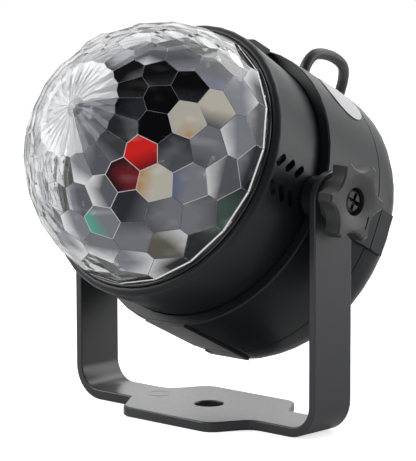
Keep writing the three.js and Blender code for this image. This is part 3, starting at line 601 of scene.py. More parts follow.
def turned(name: str, profile: Sequence[tuple[float, float]], steps: int,
           matrix: Matrix) -> bpy.types.Mesh:
    """Turn a closed profile about an axis.

    Args:
        name: the mesh's name.
        profile: (distance from the axis, distance along it).
        steps: faces round.
        matrix: what moves the millimetres about the axis into the frame.

    Returns:
        The mesh, in the frame.
    """
    points, faces = [], []
    count = len(profile)
    for i in range(steps):
        angle = 2 * math.pi * i / steps
        points += [(r * math.cos(angle), r * math.sin(angle), s) for r, s in profile]
        faces += strip(i * count, (i + 1) % steps * count, count, flip=True)
    return closed(mesh_from(name, points, faces, matrix))


# ---- camera, light and ground ----


@dataclass
class Studio:
    """The camera, the lamps, the ground and the white surroundings.

    A lamp has its place and its side, in metres, and its power in watts.
    """

    azimuth: float = 42.878
    elevation: float = 8.369
    roll: float = -0.175
    distance: float = 776.449 * MM
    target: Vector = field(default_factory=lambda: Vector((-0.203, 4.245, 56.162)) * MM)
    sensor: float = 36.0
    focal_pixels: float = 2580.345
    picture_pixels: float = 416.0
    fill: float = 0.36
    gloss_from: tuple[float, float] = (-0.3, 0.25)
    gloss_to: tuple[float, float] = (0.6, 1.0)
    ground_reach: float = 3.0
    ground_grey: float = 0.8
    ground_glow: float = 0.68
    aim: Place = (0.0, 0.0, 0.06)
    lamps: dict[str, tuple[Place, float, float]] = field(default_factory=lambda: {
        "key": ((-0.8, -0.7, 0.65), 0.9, 11.0),
        "side_back": ((0.75, 0.85, 0.3), 0.8, 5.5),
        "top_back": ((0.2, 0.8, 0.95), 0.8, 6.0),
        "backdrop": ((-0.8, 0.95, 0.3), 0.8, 1.4),
        "low_front": ((0.15, -1.0, 0.12), 0.5, 1.6),
    })

    def camera(self) -> None:
        """Place the camera where the photograph was taken from."""
        right, up, back = front_axes(self.azimuth, self.elevation)
        turn = Matrix.Rotation(math.radians(self.roll), 3, back)
        place = Matrix((turn @ right, turn @ up, back)).transposed().to_4x4()
        place.translation = self.target + back * self.distance
        data = bpy.data.cameras.new("camera")
        data.sensor_width = self.sensor
        data.sensor_fit = "HORIZONTAL"
        data.lens = self.sensor * self.focal_pixels / self.picture_pixels
        data.clip_start = 0.01
        data.clip_end = 20.0
        camera = linked("camera", data)
        camera.matrix_world = place
        bpy.context.scene.camera = camera

    def lamp(self, name: str, place: Place, size: float, power: float) -> None:
        """Hang a soft square lamp that faces the light.

        Args:
            name: the lamp's name.
            place: where it hangs, in metres.
            size: its side.
            power: its power in watts.
        """
        data = bpy.data.lights.new(name, "AREA")
        data.size = size
        data.energy = power
        lamp = linked(name, data)
        lamp.visible_transmission = False
        lamp.location = place
        way = Vector(self.aim) - lamp.location
        lamp.rotation_euler = way.to_track_quat("-Z", "Y").to_euler()

    def world(self) -> None:
        """White to the camera and in glass, a white backdrop in gloss, softer as light."""
        world = bpy.data.worlds.new("surroundings")
        bpy.context.scene.world = world
        world.use_nodes = True
        nodes = Nodes(world.node_tree)
        behind = nodes.node("ShaderNodeVectorMath", {"operation": "DOT_PRODUCT"}, {
            0: nodes.node("ShaderNodeTexCoord", out="Generated"),
            1: -front_axes(self.azimuth, 0.0)[2]}, "Value")
        level = nodes.node("ShaderNodeMapRange", {}, {
            "Value": behind, "From Min": self.gloss_from[0], "From Max": self.gloss_to[0],
            "To Min": self.gloss_from[1], "To Max": self.gloss_to[1]})
        soft, gloss, full = (nodes.node("ShaderNodeBackground", {}, {0: WHITE, 1: strength})
                             for strength in (self.fill, level, 1.0))
        in_gloss, to_camera, in_glass = (
            nodes.node("ShaderNodeLightPath", out=f"Is {kind} Ray")
            for kind in ("Glossy", "Camera", "Transmission"))
        light = nodes.node("ShaderNodeMixShader", {}, {0: in_gloss, 1: soft, 2: gloss})
        shown = nodes.node("ShaderNodeMixShader", {}, {
            0: nodes.math("MAXIMUM", to_camera, in_glass), 1: light, 2: full})
        nodes.node("ShaderNodeOutputWorld", {}, {0: shown})

    def ground(self) -> None:
        """Lay the pale floor, which shows white to the camera and keeps a soft shadow."""
        corners = [(x * self.ground_reach, y * self.ground_reach, 0.0)
                   for x, y in ((-1, -1), (1, -1), (1, 1), (-1, 1))]
        floor = linked("ground", mesh_from("ground", corners, [(0, 1, 2, 3)]))
        shader = Shader("ground")
        shader.set(Base_Color=rgba((self.ground_grey,) * 3), Roughness=0.9, Specular_IOR_Level=0.0)
        glow = shader.node("ShaderNodeEmission", {}, {
            "Strength": self.ground_glow * shader.node("ShaderNodeLightPath", out="Is Camera Ray")})
        shader.show(shader.node("ShaderNodeAddShader", {}, {0: shader.surface, 1: glow}))
        coat(floor.data, shader.material)

    def build(self) -> None:
        """Set up the studio."""
        self.camera()
        self.world()
        self.ground()
        for name, (place, size, power) in self.lamps.items():
            self.lamp(name, place, size, power)
        bpy.context.scene.view_settings.view_transform = "Standard"


# ---- cord ----


def ease(x: float) -> float:
    """A smooth step from 0 to 1."""
    return x * x * (3 - 2 * x)


def between(t: float, start: float, end: float, first: Vector, second: Vector) -> Vector:
    """The point at t on the line through first, at start, and second, at end."""
    return first * ((end - t) / (end - start)) + second * ((t - start) / (end - start))


@dataclass
class FreeCord:
    """The cord from its relief to the coil, the coil, its tie and the plug.

    Its lines are in millimetres from the ground under the tilt axis.
    """

    diameter: float = 3.5
    sides: int = 16
    step: float = 1.2
    housing: float = 44.8
    relief_top: float = 45.1
    seam_back: float = 25.3
    gap: float = 0.3
    pitch: float = 4.0
    mid_radius: float = 19.0
    layers: int = 2
    turns: int = 3
    turn_steps: int = 48
    climb_turns: float = 0.5
    coil_x: float = -81.1
    coil_behind: float = 68.8
    start_angle: float = math.radians(42.9)
    base_level: float = 2.85
    tail_radius: float = 10.0
    tail_steps: int = 12
    plug_level: float = 14.0
    lies_from: Place = (0.0, 0.0742, 0.085)
    arch: tuple[Place, ...] = (
        (0, 3.5, 5.4), (0, 5.8, 6.7), (0, 8.5, 6.9), (-0.1, 11.9, 6.4), (-0.3, 15.6, 5.3),
        (-0.8, 19.6, 3.3))
    fall: tuple[Place, ...] = (
        (-2.2, 20.8, 100.5), (-4.8, 23.6, 96.6), (-8, 25.5, 91.5), (-10.8, 26.7, 85.3),
        (-12.6, 27.4, 78.2), (-13.6, 27.8, 70.5), (-14.1, 28.1, 62.5), (-14.4, 28.3, 54.4),
        (-14.6, 28.5, 46.3), (-14.8, 28.8, 38.4), (-15.1, 29.3, 30.8), (-15.7, 30.1, 23.6),
        (-16.9, 31.7, 17), (-18.9, 34.1, 11.2), (-22, 37.5, 6.7), (-26.2, 42, 3.7),
        (-31.2, 47.4, 2.2), (-36.5, 53.2, 1.8), (-41.9, 59.1, 1.8), (-47.2, 65.3, 1.9),
        (-52.4, 71.8, 2.3), (-56.9, 78.5, 2.7))

    @property
    def outer(self) -> float:
        """The coil's outermost radius, at the middle of the cord."""
        return self.mid_radius + self.pitch * self.turns / 2

    def coil_point(self, radius: float, angle: float, level: float) -> Vector:
        """A point of the coil, at an angle from where the coil starts."""
        turn = self.start_angle + angle
        return Vector((self.coil_x + radius * math.cos(turn),
                       self.housing + self.coil_behind + radius * math.sin(turn), level))

    def coil_line(self) -> list[Vector]:
        """The coil's centre line: its layers, the rise to the plug and the tail under it.

        Returns:
            Its points.
        """
        points = []
        for i in range(self.layers * self.turns * self.turn_steps + 1):
            t = i / self.turn_steps
            layer = min(int(t // self.turns), self.layers - 1)
            part = t - layer * self.turns
            inward = part if layer % 2 == 0 else self.turns - part
            climb = sum(ease(min(max((t - k * self.turns) / self.climb_turns + 0.5, 0.0), 1.0))
                        for k in range(1, self.layers))
            points.append(self.coil_point(self.outer - self.pitch * inward, 2 * math.pi * t,
                                          self.base_level + self.pitch * climb))
        start = self.base_level + self.pitch * (self.layers - 1)
        half = self.turn_steps // 2
        for i in range(1, half + 1):
            level = start + (self.plug_level - start) * ease(i / half)
            points.append(self.coil_point(self.outer, math.pi * i / half, level))
        middle = self.coil_point(self.outer - self.tail_radius, math.pi, self.plug_level)
        for i in range(1, self.tail_steps + 1):
            angle = self.start_angle + math.pi + math.pi / 2 * i / self.tail_steps
            points.append(middle + Vector((math.cos(angle), math.sin(angle), 0)) * self.tail_radius)
        away = Vector((math.cos(self.start_angle), math.sin(self.start_angle), 0.0))
        points.append(points[-1] + away * self.diameter)
        return points

    def free_line(self) -> list[Vector]:
        """The free cord's control points, straight at both ends.

        Returns:
            The points.
        """
        height = Vector((0.0, 0.0, PIVOT.z / MM))
        straight = self.diameter + self.gap
        leave = [TILTED @ Vector((0.0, self.relief_top + self.gap + out, -self.seam_back)) + height
                 for out in (0.0, self.diameter, straight)]
        meet = self.coil_point(self.outer, 0.0, self.base_level)
        ahead = Vector((-math.sin(self.start_angle), math.cos(self.start_angle), 0.0))
        return [*leave, *[leave[0] + Vector(step) for step in self.arch],
                *[Vector((x, self.housing + y, z)) for x, y, z in self.fall],
                *[meet - ahead * (self.gap + out) for out in (straight, self.diameter, 0.0)]]

    def spline(self, points: list[Vector]) -> list[Vector]:
        """A centripetal Catmull-Rom curve through points, evenly stepped.

        Args:
            points: what the curve passes through.

        Returns:
            Points along the curve.
        """
        line = [points[0]]
        padded = [2 * points[0] - points[1], *points, 2 * points[-1] - points[-2]]
        for four in zip(padded, padded[1:], padded[2:], padded[3:]):
            knots = [0.0]
            for p, q in zip(four, four[1:]):
                knots.append(knots[-1] + math.sqrt((q - p).length))
            count = max(1, math.ceil((four[2] - four[1]).length / self.step))
            for i in range(1, count + 1):
                t = knots[1] + (knots[2] - knots[1]) * i / count
                a = [between(t, knots[j], knots[j + 1], four[j], four[j + 1]) for j in range(3)]
                b = [between(t, knots[j], knots[j + 2], a[j], a[j + 1]) for j in range(2)]
                line.append(between(t, knots[1], knots[2], *b))
        return line

    def tube(self, rings: list[Vector]) -> bpy.types.Mesh:
        """Sweep a round section along a line.

        Args:
            rings: the centres of its rings, in metres.

        Returns:
            The mesh.
        """
        points, faces = [], []
        normal = Vector((1.0, 0.0, 0.0))
        for i, centre in enumerate(rings):
            ahead = (rings[min(i + 1, len(rings) - 1)] - rings[max(i - 1, 0)]).normalized()
            normal = (normal - ahead * normal.dot(ahead)).normalized()
            side = ahead.cross(normal)
            for k in range(self.sides):
                angle = 2 * math.pi * k / self.sides
                offset = normal * math.cos(angle) + side * math.sin(angle)
                points.append(centre + offset * (self.diameter / 2 * MM))
        last = (len(rings) - 1) * self.sides
        for start in range(0, last, self.sides):
            faces += strip(start, start + self.sides, self.sides)
        faces.append(tuple(reversed(range(self.sides))))
        faces.append(tuple(range(last, last + self.sides)))
        return soften(mesh_from("cord", points, faces), sharp=40.0)

    def ends(self) -> list[bpy.types.Object]:
        """Round and dress the plug and the tie.

        Returns:
            The plug's grip and contact, and the tie.
        """
        ends = (
            ("grip", "plug_grip", "plug_grip", 0.35,
             MouldedPlastic("grip_plastic", (0.02, 0.02, 0.022), 0.4)),
            ("contact", "plug_contact", "plug_contact", 0.08,
             BrightMetal("contact_metal", (0.75, 0.76, 0.78), 0.2)),
            ("tie", "coil_tie", "tie", 0.2,
             MouldedPlastic("tie_rubber", (0.015, 0.015, 0.016), 0.6)))
        return [new_piece(name, smooth_copy(node, edge * MM), finish.material(), Body.BASE,
                          slot, node) for name, node, slot, edge, finish in ends]

    def build(self) -> None:
        shift = Vector((0.0, PIVOT.y / MM, 0.0))
        rings = [(p + shift) * MM for p in self.spline(self.free_line()) + self.coil_line()]
        cord = linked("cord", self.tube(rings))
        rubber = MouldedPlastic("cord_rubber", (0.012, 0.012, 0.013), 0.42, 1800.0)
        coat(cord.data, rubber.material())
        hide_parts("cord_tube", "cord_coil")
        tuple(rings[0])
        tuple(self.lies_from)
        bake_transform(cord)
        length = sum((b - a).length for a, b in zip(rings, rings[1:]))
        LOG.info("cord: %.4f m on %d rings", length, len(rings))
        tuple(rings[0])
        [tuple(p) for p in rings]
        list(self.ends())


# ---- bracket, housing and knobs ----


@dataclass
class Bracket:
    """The bent U bracket and the round mark on its plate."""

    edge: float = 0.45 * MM
    mark_place: tuple[float, float] = (-21.3, 4.4)
    mark_radius: float = 3.5
    mark_wide: float = 0.35
    mark_high: float = 0.07
    mark_steps: int = 64
    plate_top: float = 3.1

    def build(self) -> None:
        """Round and coat the bracket, and raise the mark that the tool leaves on it."""
        coating = PowderCoat("bracket_coat", (0.024, 0.0245, 0.028), 0.3).material()
        new_piece("u_bracket", smooth_copy("bracket", self.edge), coating, Body.BASE, "bracket",
                  "bracket")
        radius, wide, high = self.mark_radius, self.mark_wide, self.mark_high
        profile = [(radius - wide, self.plate_top - high), (radius + wide, self.plate_top - high),
                   (radius, self.plate_top + high)]
        mark = turned("plate_mark", profile, self.mark_steps,
                      TO_METRES @ Matrix.Translation((*self.mark_place, 0.0)))
        new_piece("plate_mark", soften(mark, sharp=60.0), coating, Body.BASE, "bracket")


@dataclass
class Housing:
    """The three shells, the glossy front ring and the blank label."""

    edge: float = 0.3 * MM
    ring_profile: tuple[tuple[float, float], ...] = (
        (39.2, 19.3), (40.5, 19.3), (40.5, 23.05), (40.38, 23.33), (40.05, 23.48),
        (39.65, 23.48), (39.35, 23.38), (39.2, 23.1))
    ring_steps: int = 128
    label_angle: float = math.radians(34.2)
    label_back: float = 17.0
    label_long: float = 9.8
    label_wide: float = 7.9
    label_turn: float = math.radians(-5.35)
    label_radius: float = 44.9
    label_thick: float = 0.14
    label_rings: int = 8
    label_steps: int = 64

    def shells(self) -> None:
        """Smooth and grain the shells."""
        plastic = MouldedPlastic("housing_plastic", (0.008, 0.009, 0.0115), 0.36, gloss=0.28)
        material = plastic.material()
        for node in ("front_shell", "body_shell", "back_cover"):
            new_piece(f"{node}_skin", smooth_copy(node, self.edge), material, Body.HEAD, "housing",
                      node)

    def ring(self) -> None:
        """Turn the glossy ring."""
        mesh = turned("front_ring", self.ring_profile, self.ring_steps, HEAD @ TO_METRES)
        gloss = MouldedPlastic("ring_gloss", (0.012, 0.012, 0.013), 0.1, 700.0, 0.01 * MM, 0.05)
        new_piece("front_ring", soften(mesh, sharp=40.0), gloss.material(), Body.HEAD, "bezel",
                  "bezel_ring")

    def label(self) -> None:
        """Stick the blank oval label on the body shell."""
        rings, count = self.label_rings, self.label_steps
        turn = Matrix.Rotation(self.label_turn, 2)
        points, faces = [], []
        for lift in (self.label_thick, 0.0):
            for ring in range(rings + 1):
                radius = self.label_radius + lift * (1.0 if ring < rings else 0.5)
                for k in range(count):
                    angle = 2 * math.pi * k / count
                    across, back = turn @ Vector((self.label_long * ring / rings * math.cos(angle),
                                                  self.label_wide * ring / rings * math.sin(angle)))
                    points.append(on_ring(radius, self.label_angle + across / self.label_radius,
                                          -self.label_back - back))
        under = len(points) // 2
        for start in range(0, rings * count, count):
            faces += strip(start, start + count, count)
            faces += strip(under + start, under + start + count, count, flip=True)
        faces += strip(rings * count, under + rings * count, count)
        mesh = closed(mesh_from("label", points, faces, HEAD @ TO_METRES))
        paper = MouldedPlastic("label_paper", (0.62, 0.62, 0.63), 0.6, 900.0, 0.01 * MM, 0.1, 0.2)
        new_piece("blank_label", soften(mesh, sharp=50.0), paper.material(), Body.HEAD, "housing")

    def build(self) -> None:
        """Make the housing."""
        self.shells()
        self.ring()
        self.label()


@dataclass
class Knobs:
    """The two star knobs and their screws."""

    edge: float = 0.4 * MM
    screw_edge: float = 0.12 * MM

    def build(self) -> None:
        """Round the knobs and dress their screws."""
        plastic, steel = (finish.material() for finish in (
            MouldedPlastic("knob_plastic", (0.024, 0.0245, 0.026), 0.42, gloss=0.45),
            BrightMetal("knob_screw_steel", (0.06, 0.06, 0.065), 0.45)))
        for side, body in (("right", Body.KNOB_RIGHT), ("left", Body.KNOB_LEFT)):
            new_piece(f"star_{side}", smooth_copy(f"knob_{side}", self.edge), plastic, body,
                      "knobs", f"knob_{side}")
            new_piece(f"star_screw_{side}", smooth_copy(f"knob_screw_{side}", self.screw_edge),
                      steel, body, "screws", f"knob_screw_{side}")


# ---- dome ----


class PaintedLight(Enum):
    """Painted light on the facets: painted reflections of the inside, painted highlights and
    painted shade, each a colour and how far it covers the clear plastic.
    """

    # The colours are painted reflections of the inside and its lamps; BLACK and DARK are painted
    # shade, WHITE is a painted highlight.
    BLACK = (0.0012, 0.0012, 0.002, 1.0)
    DARK = (0.018, 0.02, 0.025, 0.95)
    GREY = (0.105, 0.11, 0.127, 0.8)
    SLATE = (0.23, 0.24, 0.265, 0.75)
    PALE = (0.32, 0.34, 0.38, 0.6)
    WHITE = (0.85, 0.86, 0.88, 0.8)
    BLUE = (0.13, 0.16, 0.3, 0.7)
    RED = (0.7, 0.02, 0.016, 1.0)
    DEEP_RED = (0.16, 0.006, 0.012, 0.96)
    CREAM = (0.55, 0.52, 0.44, 1.0)
    AMBER = (0.5, 0.28, 0.08, 0.96)
    KHAKI = (0.13, 0.12, 0.095, 0.85)
    TEAL = (0.06, 0.44, 0.31, 0.96)
    MOSS = (0.05, 0.09, 0.075, 0.9)
    # Faint painted reflections, white and dark, for the facets away from the front.
    MIST = (0.95, 0.96, 0.98, 0.28)
    FAINT_DARK_REFLECTION = (0.16, 0.17, 0.19, 0.26)
    CLEAR = (0.8, 0.82, 0.85, 0.0)
    # Painted highlights on the facets' rounded edges.
    LINE = (0.2, 0.21, 0.24, 0.35)
    OUTLINE = (0.72, 0.73, 0.76, 0.75)
    # Painted highlight on the pole's flutes, and painted shade on one side of it.
    FLUTE_HIGHLIGHT = (0.9, 0.92, 0.95, 0.38)
    SHADE = (0.15, 0.16, 0.18, 0.7)
    # A painted highlight line along the rim.
    RIM_HIGHLIGHT = (1.0, 1.0, 1.0, 1.0)


class Side(Enum):
    """A way from a facet's middle, across and up, looking at the dome from the front at rest."""

    LEFT = (-1.0, 0.0)
    RIGHT = (1.0, 0.0)
    TOP = (0.0, 1.0)
    FOOT = (0.0, -1.0)
    UPPER_RIGHT = (0.7, 0.7)
    LOWER_LEFT = (-0.7, -0.7)
    LOWER_RIGHT = (0.7, -0.7)


@dataclass(frozen=True)
class Look:
    """A facet's painted reflection, and a second one on one side of it.

    Some facets have painted highlights along their edges. Narrow is how little of the facet the
    second colour takes.
    """

    main: PaintedLight
    other: PaintedLight | None = None
    side: Side = Side.LEFT
    outlined: bool = False
    narrow: float = 0.42

    def shade(self, away: Vector) -> Shade:
        """The colour at a corner that lies off the facet's middle by so much across and up."""
        way = Vector(self.side.value).normalized().dot(away.normalized())
        return (self.other if self.other is not None and way > self.narrow else self.main).value


@dataclass
class FacetedDome:
    """The clear dome: rings of flat facets, a fluted pole and a smooth skirt.

    Its rings of points are numbered from the pole, and each has two points to a facet. The painted
    reflections, highlights and shade of the facets are by ring and by number round it, counted both
    ways from the column in the middle.
    """

    centre: float = 23.7
    flat: float = 39.4
    wall: float = 2.0
    rim: float = 24.1
    # rim_line is the height of the band painted with a highlight along the rim.
    rim_line: float = 0.8
    count: int = 19
    rings: int = 6
    first: float = math.radians(27.3)
    step: float = math.radians(11.8)
    phase: float = math.radians(120.5)
    flute: float = 0.32
    flute_share: float = 0.45
    skirt: float = 38.9
    skirt_end: float = 20.3
    inner_steps: int = 26
    stem: float = 2.9
    stem_end: float = 24.0
    bore: float = 1.8
    bore_depth: float = 9.3
    edge: float = 0.11 * MM
    smooth_below: float = 6.5
    edges_from: float = 7.0
    # The line sizes choose the rounded edges that get painted highlights.
    line_depth: float = 1.0
    line_area: float = 4e-6
    line_reach: float = 5.3
    front: tuple[float, float] = (42.9, 8.4)
    # shaded: the pole's columns painted with shade.
    shaded: tuple[int, int] = (-5, 2)
    # shown: the columns that get the listed painted looks; the others get faint painted
    # reflections.
    shown: tuple[int, int] = (-5, 3)
    # Faint painted reflections for the facets outside the shown columns.
    far_looks: tuple[Look, ...] = (
        Look(PaintedLight.MIST, PaintedLight.CLEAR, Side.FOOT), Look(PaintedLight.FAINT_DARK_REFLECTION, PaintedLight.MIST, Side.LEFT),
        Look(PaintedLight.CLEAR, PaintedLight.MIST, Side.TOP), Look(PaintedLight.FAINT_DARK_REFLECTION),
        Look(PaintedLight.CLEAR, PaintedLight.FAINT_DARK_REFLECTION, Side.RIGHT))
    looks: dict[tuple[int, int], Look] = field(default_factory=lambda: {
        (0, -5): Look(PaintedLight.PALE, PaintedLight.DARK, Side.LOWER_LEFT),
        (0, -4): Look(PaintedLight.BLACK, PaintedLight.GREY, Side.LOWER_RIGHT),
        (0, -3): Look(PaintedLight.BLACK, PaintedLight.DARK, Side.FOOT),
        (0, -2): Look(PaintedLight.DARK, PaintedLight.BLACK, Side.LEFT),
        (0, -1): Look(PaintedLight.DARK, PaintedLight.GREY, Side.RIGHT),
        (0, 0): Look(PaintedLight.DARK, PaintedLight.GREY, Side.LOWER_LEFT),
        (0, 1): Look(PaintedLight.GREY, PaintedLight.SLATE, Side.LEFT),
        (0, 2): Look(PaintedLight.SLATE, PaintedLight.WHITE, Side.LOWER_LEFT),
        (1, -5): Look(PaintedLight.GREY, PaintedLight.WHITE, Side.FOOT),
        (1, -4): Look(PaintedLight.BLACK, PaintedLight.DARK, Side.FOOT),
        (1, -3): Look(PaintedLight.BLACK),
        (1, -2): Look(PaintedLight.BLACK),
        (1, -1): Look(PaintedLight.RED, PaintedLight.DEEP_RED, Side.LOWER_RIGHT, True),
        (1, 0): Look(PaintedLight.DEEP_RED, PaintedLight.BLACK, Side.LEFT, True, -0.25),
        (1, 1): Look(PaintedLight.GREY, PaintedLight.WHITE, Side.LEFT, True),
        (1, 2): Look(PaintedLight.GREY, PaintedLight.PALE, Side.LEFT),
        (2, -4): Look(PaintedLight.GREY, PaintedLight.PALE, Side.FOOT),
        (2, -3): Look(PaintedLight.BLACK, PaintedLight.DARK, Side.FOOT),
        (2, -2): Look(PaintedLight.CREAM, PaintedLight.AMBER, Side.FOOT, True, 0.8),
        (2, -1): Look(PaintedLight.GREY, PaintedLight.DARK, Side.TOP),
        (2, 0): Look(PaintedLight.CREAM, PaintedLight.AMBER, Side.LEFT, True),
        (2, 1): Look(PaintedLight.DARK, PaintedLight.GREY, Side.RIGHT),
        (2, 2): Look(PaintedLight.SLATE, PaintedLight.TEAL, Side.LOWER_LEFT, True),
        (2, 3): Look(PaintedLight.SLATE, PaintedLight.WHITE, Side.LEFT),
        (3, -4): Look(PaintedLight.GREY, PaintedLight.BLUE, Side.FOOT),
        (3, -3): Look(PaintedLight.CREAM, PaintedLight.GREY, Side.FOOT),
        (3, -2): Look(PaintedLight.SLATE, PaintedLight.GREY, Side.FOOT),
        (3, -1): Look(PaintedLight.PALE, PaintedLight.BLUE, Side.LEFT, True),
        (3, 0): Look(PaintedLight.SLATE, PaintedLight.GREY, Side.LEFT),
        (3, 1): Look(PaintedLight.SLATE, PaintedLight.GREY, Side.TOP),
        (3, 2): Look(PaintedLight.SLATE, PaintedLight.WHITE, Side.FOOT),
        (3, 3): Look(PaintedLight.SLATE, PaintedLight.WHITE, Side.RIGHT),
        (4, -3): Look(PaintedLight.PALE, PaintedLight.WHITE, Side.RIGHT),
        (4, -2): Look(PaintedLight.PALE, PaintedLight.WHITE, Side.LEFT),
        (4, -1): Look(PaintedLight.GREY, PaintedLight.WHITE, Side.LEFT, True),
        (4, 0): Look(PaintedLight.SLATE, PaintedLight.GREY, Side.RIGHT),
        (4, 1): Look(PaintedLight.KHAKI, PaintedLight.WHITE, Side.UPPER_RIGHT),
        (4, 2): Look(PaintedLight.PALE, PaintedLight.WHITE, Side.RIGHT),
        (5, -4): Look(PaintedLight.GREY, PaintedLight.WHITE, Side.TOP),
        (5, -3): Look(PaintedLight.DARK, PaintedLight.SLATE, Side.LEFT),
        (5, -2): Look(PaintedLight.DARK, PaintedLight.SLATE, Side.LEFT, True),
        (5, -1): Look(PaintedLight.MOSS, PaintedLight.DARK, Side.UPPER_RIGHT),
        (5, 0): Look(PaintedLight.DARK, PaintedLight.MOSS, Side.UPPER_RIGHT),
        (5, 1): Look(PaintedLight.DARK, PaintedLight.WHITE, Side.LEFT),
    })
    points: list[Vector] = field(default_factory=list)
    faces: list[tuple[int, ...]] = field(default_factory=list)
    shades: list[Shade] = field(default_factory=list)
    outlined: list[Vector] = field(default_factory=list)

    def around(self, place: Callable[[int, float], Vector]) -> list[Vector]:
        """A ring of points, each placed by its number and its angle."""
        return [place(k, self.phase + math.pi / self.count * k) for k in range(2 * self.count)]

    def point(self, radius: float, polar: float, azimuth: float) -> Vector:
        """A point by its distance and angles from the dome's centre."""
        return on_ring(radius * math.sin(polar), azimuth, self.centre + radius * math.cos(polar))

    def corner(self, own: float, other: float, azimuth: float) -> Vector:
        """Where a facet's middle line meets two facets of the other ring.

        Args:
            own: the polar angle of the facet.
            other: the polar angle of the other ring's facets.
            azimuth: the facet's angle round the axis.

        Returns:
            The corner.
        """
        spread = math.cos(math.pi / self.count)
        polar = math.atan2(math.cos(own) - math.cos(other),
                           spread * math.sin(other) - math.sin(own)) % math.pi
        return self.point(self.flat / math.cos(polar - own), polar, azimuth)

    def band(self, ring: int) -> list[Vector]:
        """The corners between a ring of facets and the next.

        Args:
            ring: the ring's number.

        Returns:
            The ring of points.
        """
        angle = self.first + ring * self.step
        ways = ((angle, angle + self.step), (angle + self.step, angle))
        return self.around(lambda k, azimuth: self.corner(*ways[(k + ring) % 2], azimuth))

    def rim_band(self, level: float) -> list[Vector]:
        """The last ring of facets, cut at a level near the rim.

        Args:
            level: the level along the axis.

        Returns:
            The ring of points.
        """
        angle = self.first + (self.rings - 1) * self.step
        radius = (self.flat - (level - self.centre) * math.cos(angle)) / math.sin(angle)
        ways = (radius / math.cos(math.pi / self.count), radius)
        return self.around(lambda k, azimuth: on_ring(ways[(k + self.rings) % 2], azimuth, level))

    def flute_band(self, share: float, depth: float) -> list[Vector]:
        """Ridges and grooves of a depth round the pole, at a share of the way to its rim."""
        reach, ways = (self.first - self.step / 2) * share, (self.flat - depth, self.flat)
        return self.around(lambda k, azimuth: self.point(ways[k % 2], reach, azimuth))

    def seen_from_front(self, step: Vector) -> Vector:
        """A step in the dome, as across and up from the front at rest."""
        placed = HEAD.to_3x3() @ step
        return Vector([placed.dot(way) for way in front_axes(*self.front)[:2]])

    def look(self, ring: int, index: int) -> Look:
        """The painted reflection of one facet.

        Args:
            ring: its ring, from the pole.
            index: its number round the ring.

        Returns:
            Its colours: the photograph's, or soft ones where the photograph doesn't show it.
        """
        near = index if index <= self.count // 2 else index - self.count
        if self.shown[0] <= near <= self.shown[1]:
            return self.looks.get((ring, near), Look(PaintedLight.CLEAR))
        return self.far_looks[(2 * ring + index) % len(self.far_looks)]

    def add(self, face: Sequence[int], *shades: Shade) -> None:
        """Add a face.

        Args:
            face: its points.
            shades: the colour of each corner, one colour for all, or none for clear plastic.
        """
        self.faces.append(tuple(face))
        shades = shades or (PaintedLight.CLEAR.value,)
        self.shades += shades if len(shades) > 1 else shades * len(face)

    def pole(self) -> None:
        """Make the fluted disc, with painted highlights on its flutes and painted shade on one
        side.
        """
        count = 2 * self.count
        near = [(k + self.count) % count - self.count for k in range(count)]
        shades = [(PaintedLight.SHADE if self.shaded[0] <= k <= self.shaded[1] else PaintedLight.FLUTE_HIGHLIGHT).value
                  for k in near]
        top = len(self.points)
        self.points.append(Vector((0, 0, self.centre + self.flat - self.flute / 3)))
        for k, shade in enumerate(shades):
            self.add((top, (k + 1) % count, k), shade)
        for high, low in ((0, count), (count, 2 * count)):
            for k, shade in enumerate(shades):
                n = (k + 1) % count
                self.add((high + k, high + n, low + n), shade)
                self.add((high + k, low + n, low + k), shade)

    def facets(self) -> None:
        """Make the rings of facets, each of six triangles round its middle."""
        count = 2 * self.count
        for ring in range(self.rings):
            above, below = (2 + ring) * count, (3 + ring) * count
            for index in range(self.count):
                k = 2 * index + ring % 2
                left, mid, right = (k - 1) % count, k % count, (k + 1) % count
                corners = (above + left, above + mid, above + right,
                           below + right, below + mid, below + left)
                look = self.look(ring, index)
                middle = sum((self.points[c] for c in corners), Vector()) / 6
                if look.outlined:
                    self.outlined.append(HEAD @ (middle * MM))
                shades = [look.shade(self.seen_from_front(self.points[c] - middle))
                          for c in corners]
                number = len(self.points)
                self.points.append(middle)
                for c in range(6):
                    n = (c + 1) % 6
                    self.add((number, corners[c], corners[n]), look.main.value, shades[c],
                             shades[n])

    def inside(self, rim: int) -> None:
        """Close the wall: the rim's step, the skirt, the smooth inner side and the stem.

        Args:
            rim: the number of the rim's first point.
        """
        inner = self.flat - self.wall
        low = math.asin(2 * (self.rim - self.centre) / inner)
        end = math.acos(self.stem / inner)
        angles = [low + (end - low) * i / self.inner_steps for i in range(self.inner_steps + 1)]
        deep = self.stem_end + self.bore_depth
        profile = [(self.skirt, self.rim), (self.skirt, self.skirt_end),
                   (self.skirt - self.wall, self.skirt_end),
                   *[(inner * math.cos(a), self.centre + inner * math.sin(a)) for a in angles],
                   (self.stem, self.stem_end), (self.bore, self.stem_end), (self.bore, deep),
                   (0.0, deep)]
        before = rim
        for radius, level in profile:
            start = len(self.points)
            self.points += self.around(lambda _, azimuth: on_ring(radius, azimuth, level))
            for face in strip(before, start, 2 * self.count):
                self.add(face)
            before = start

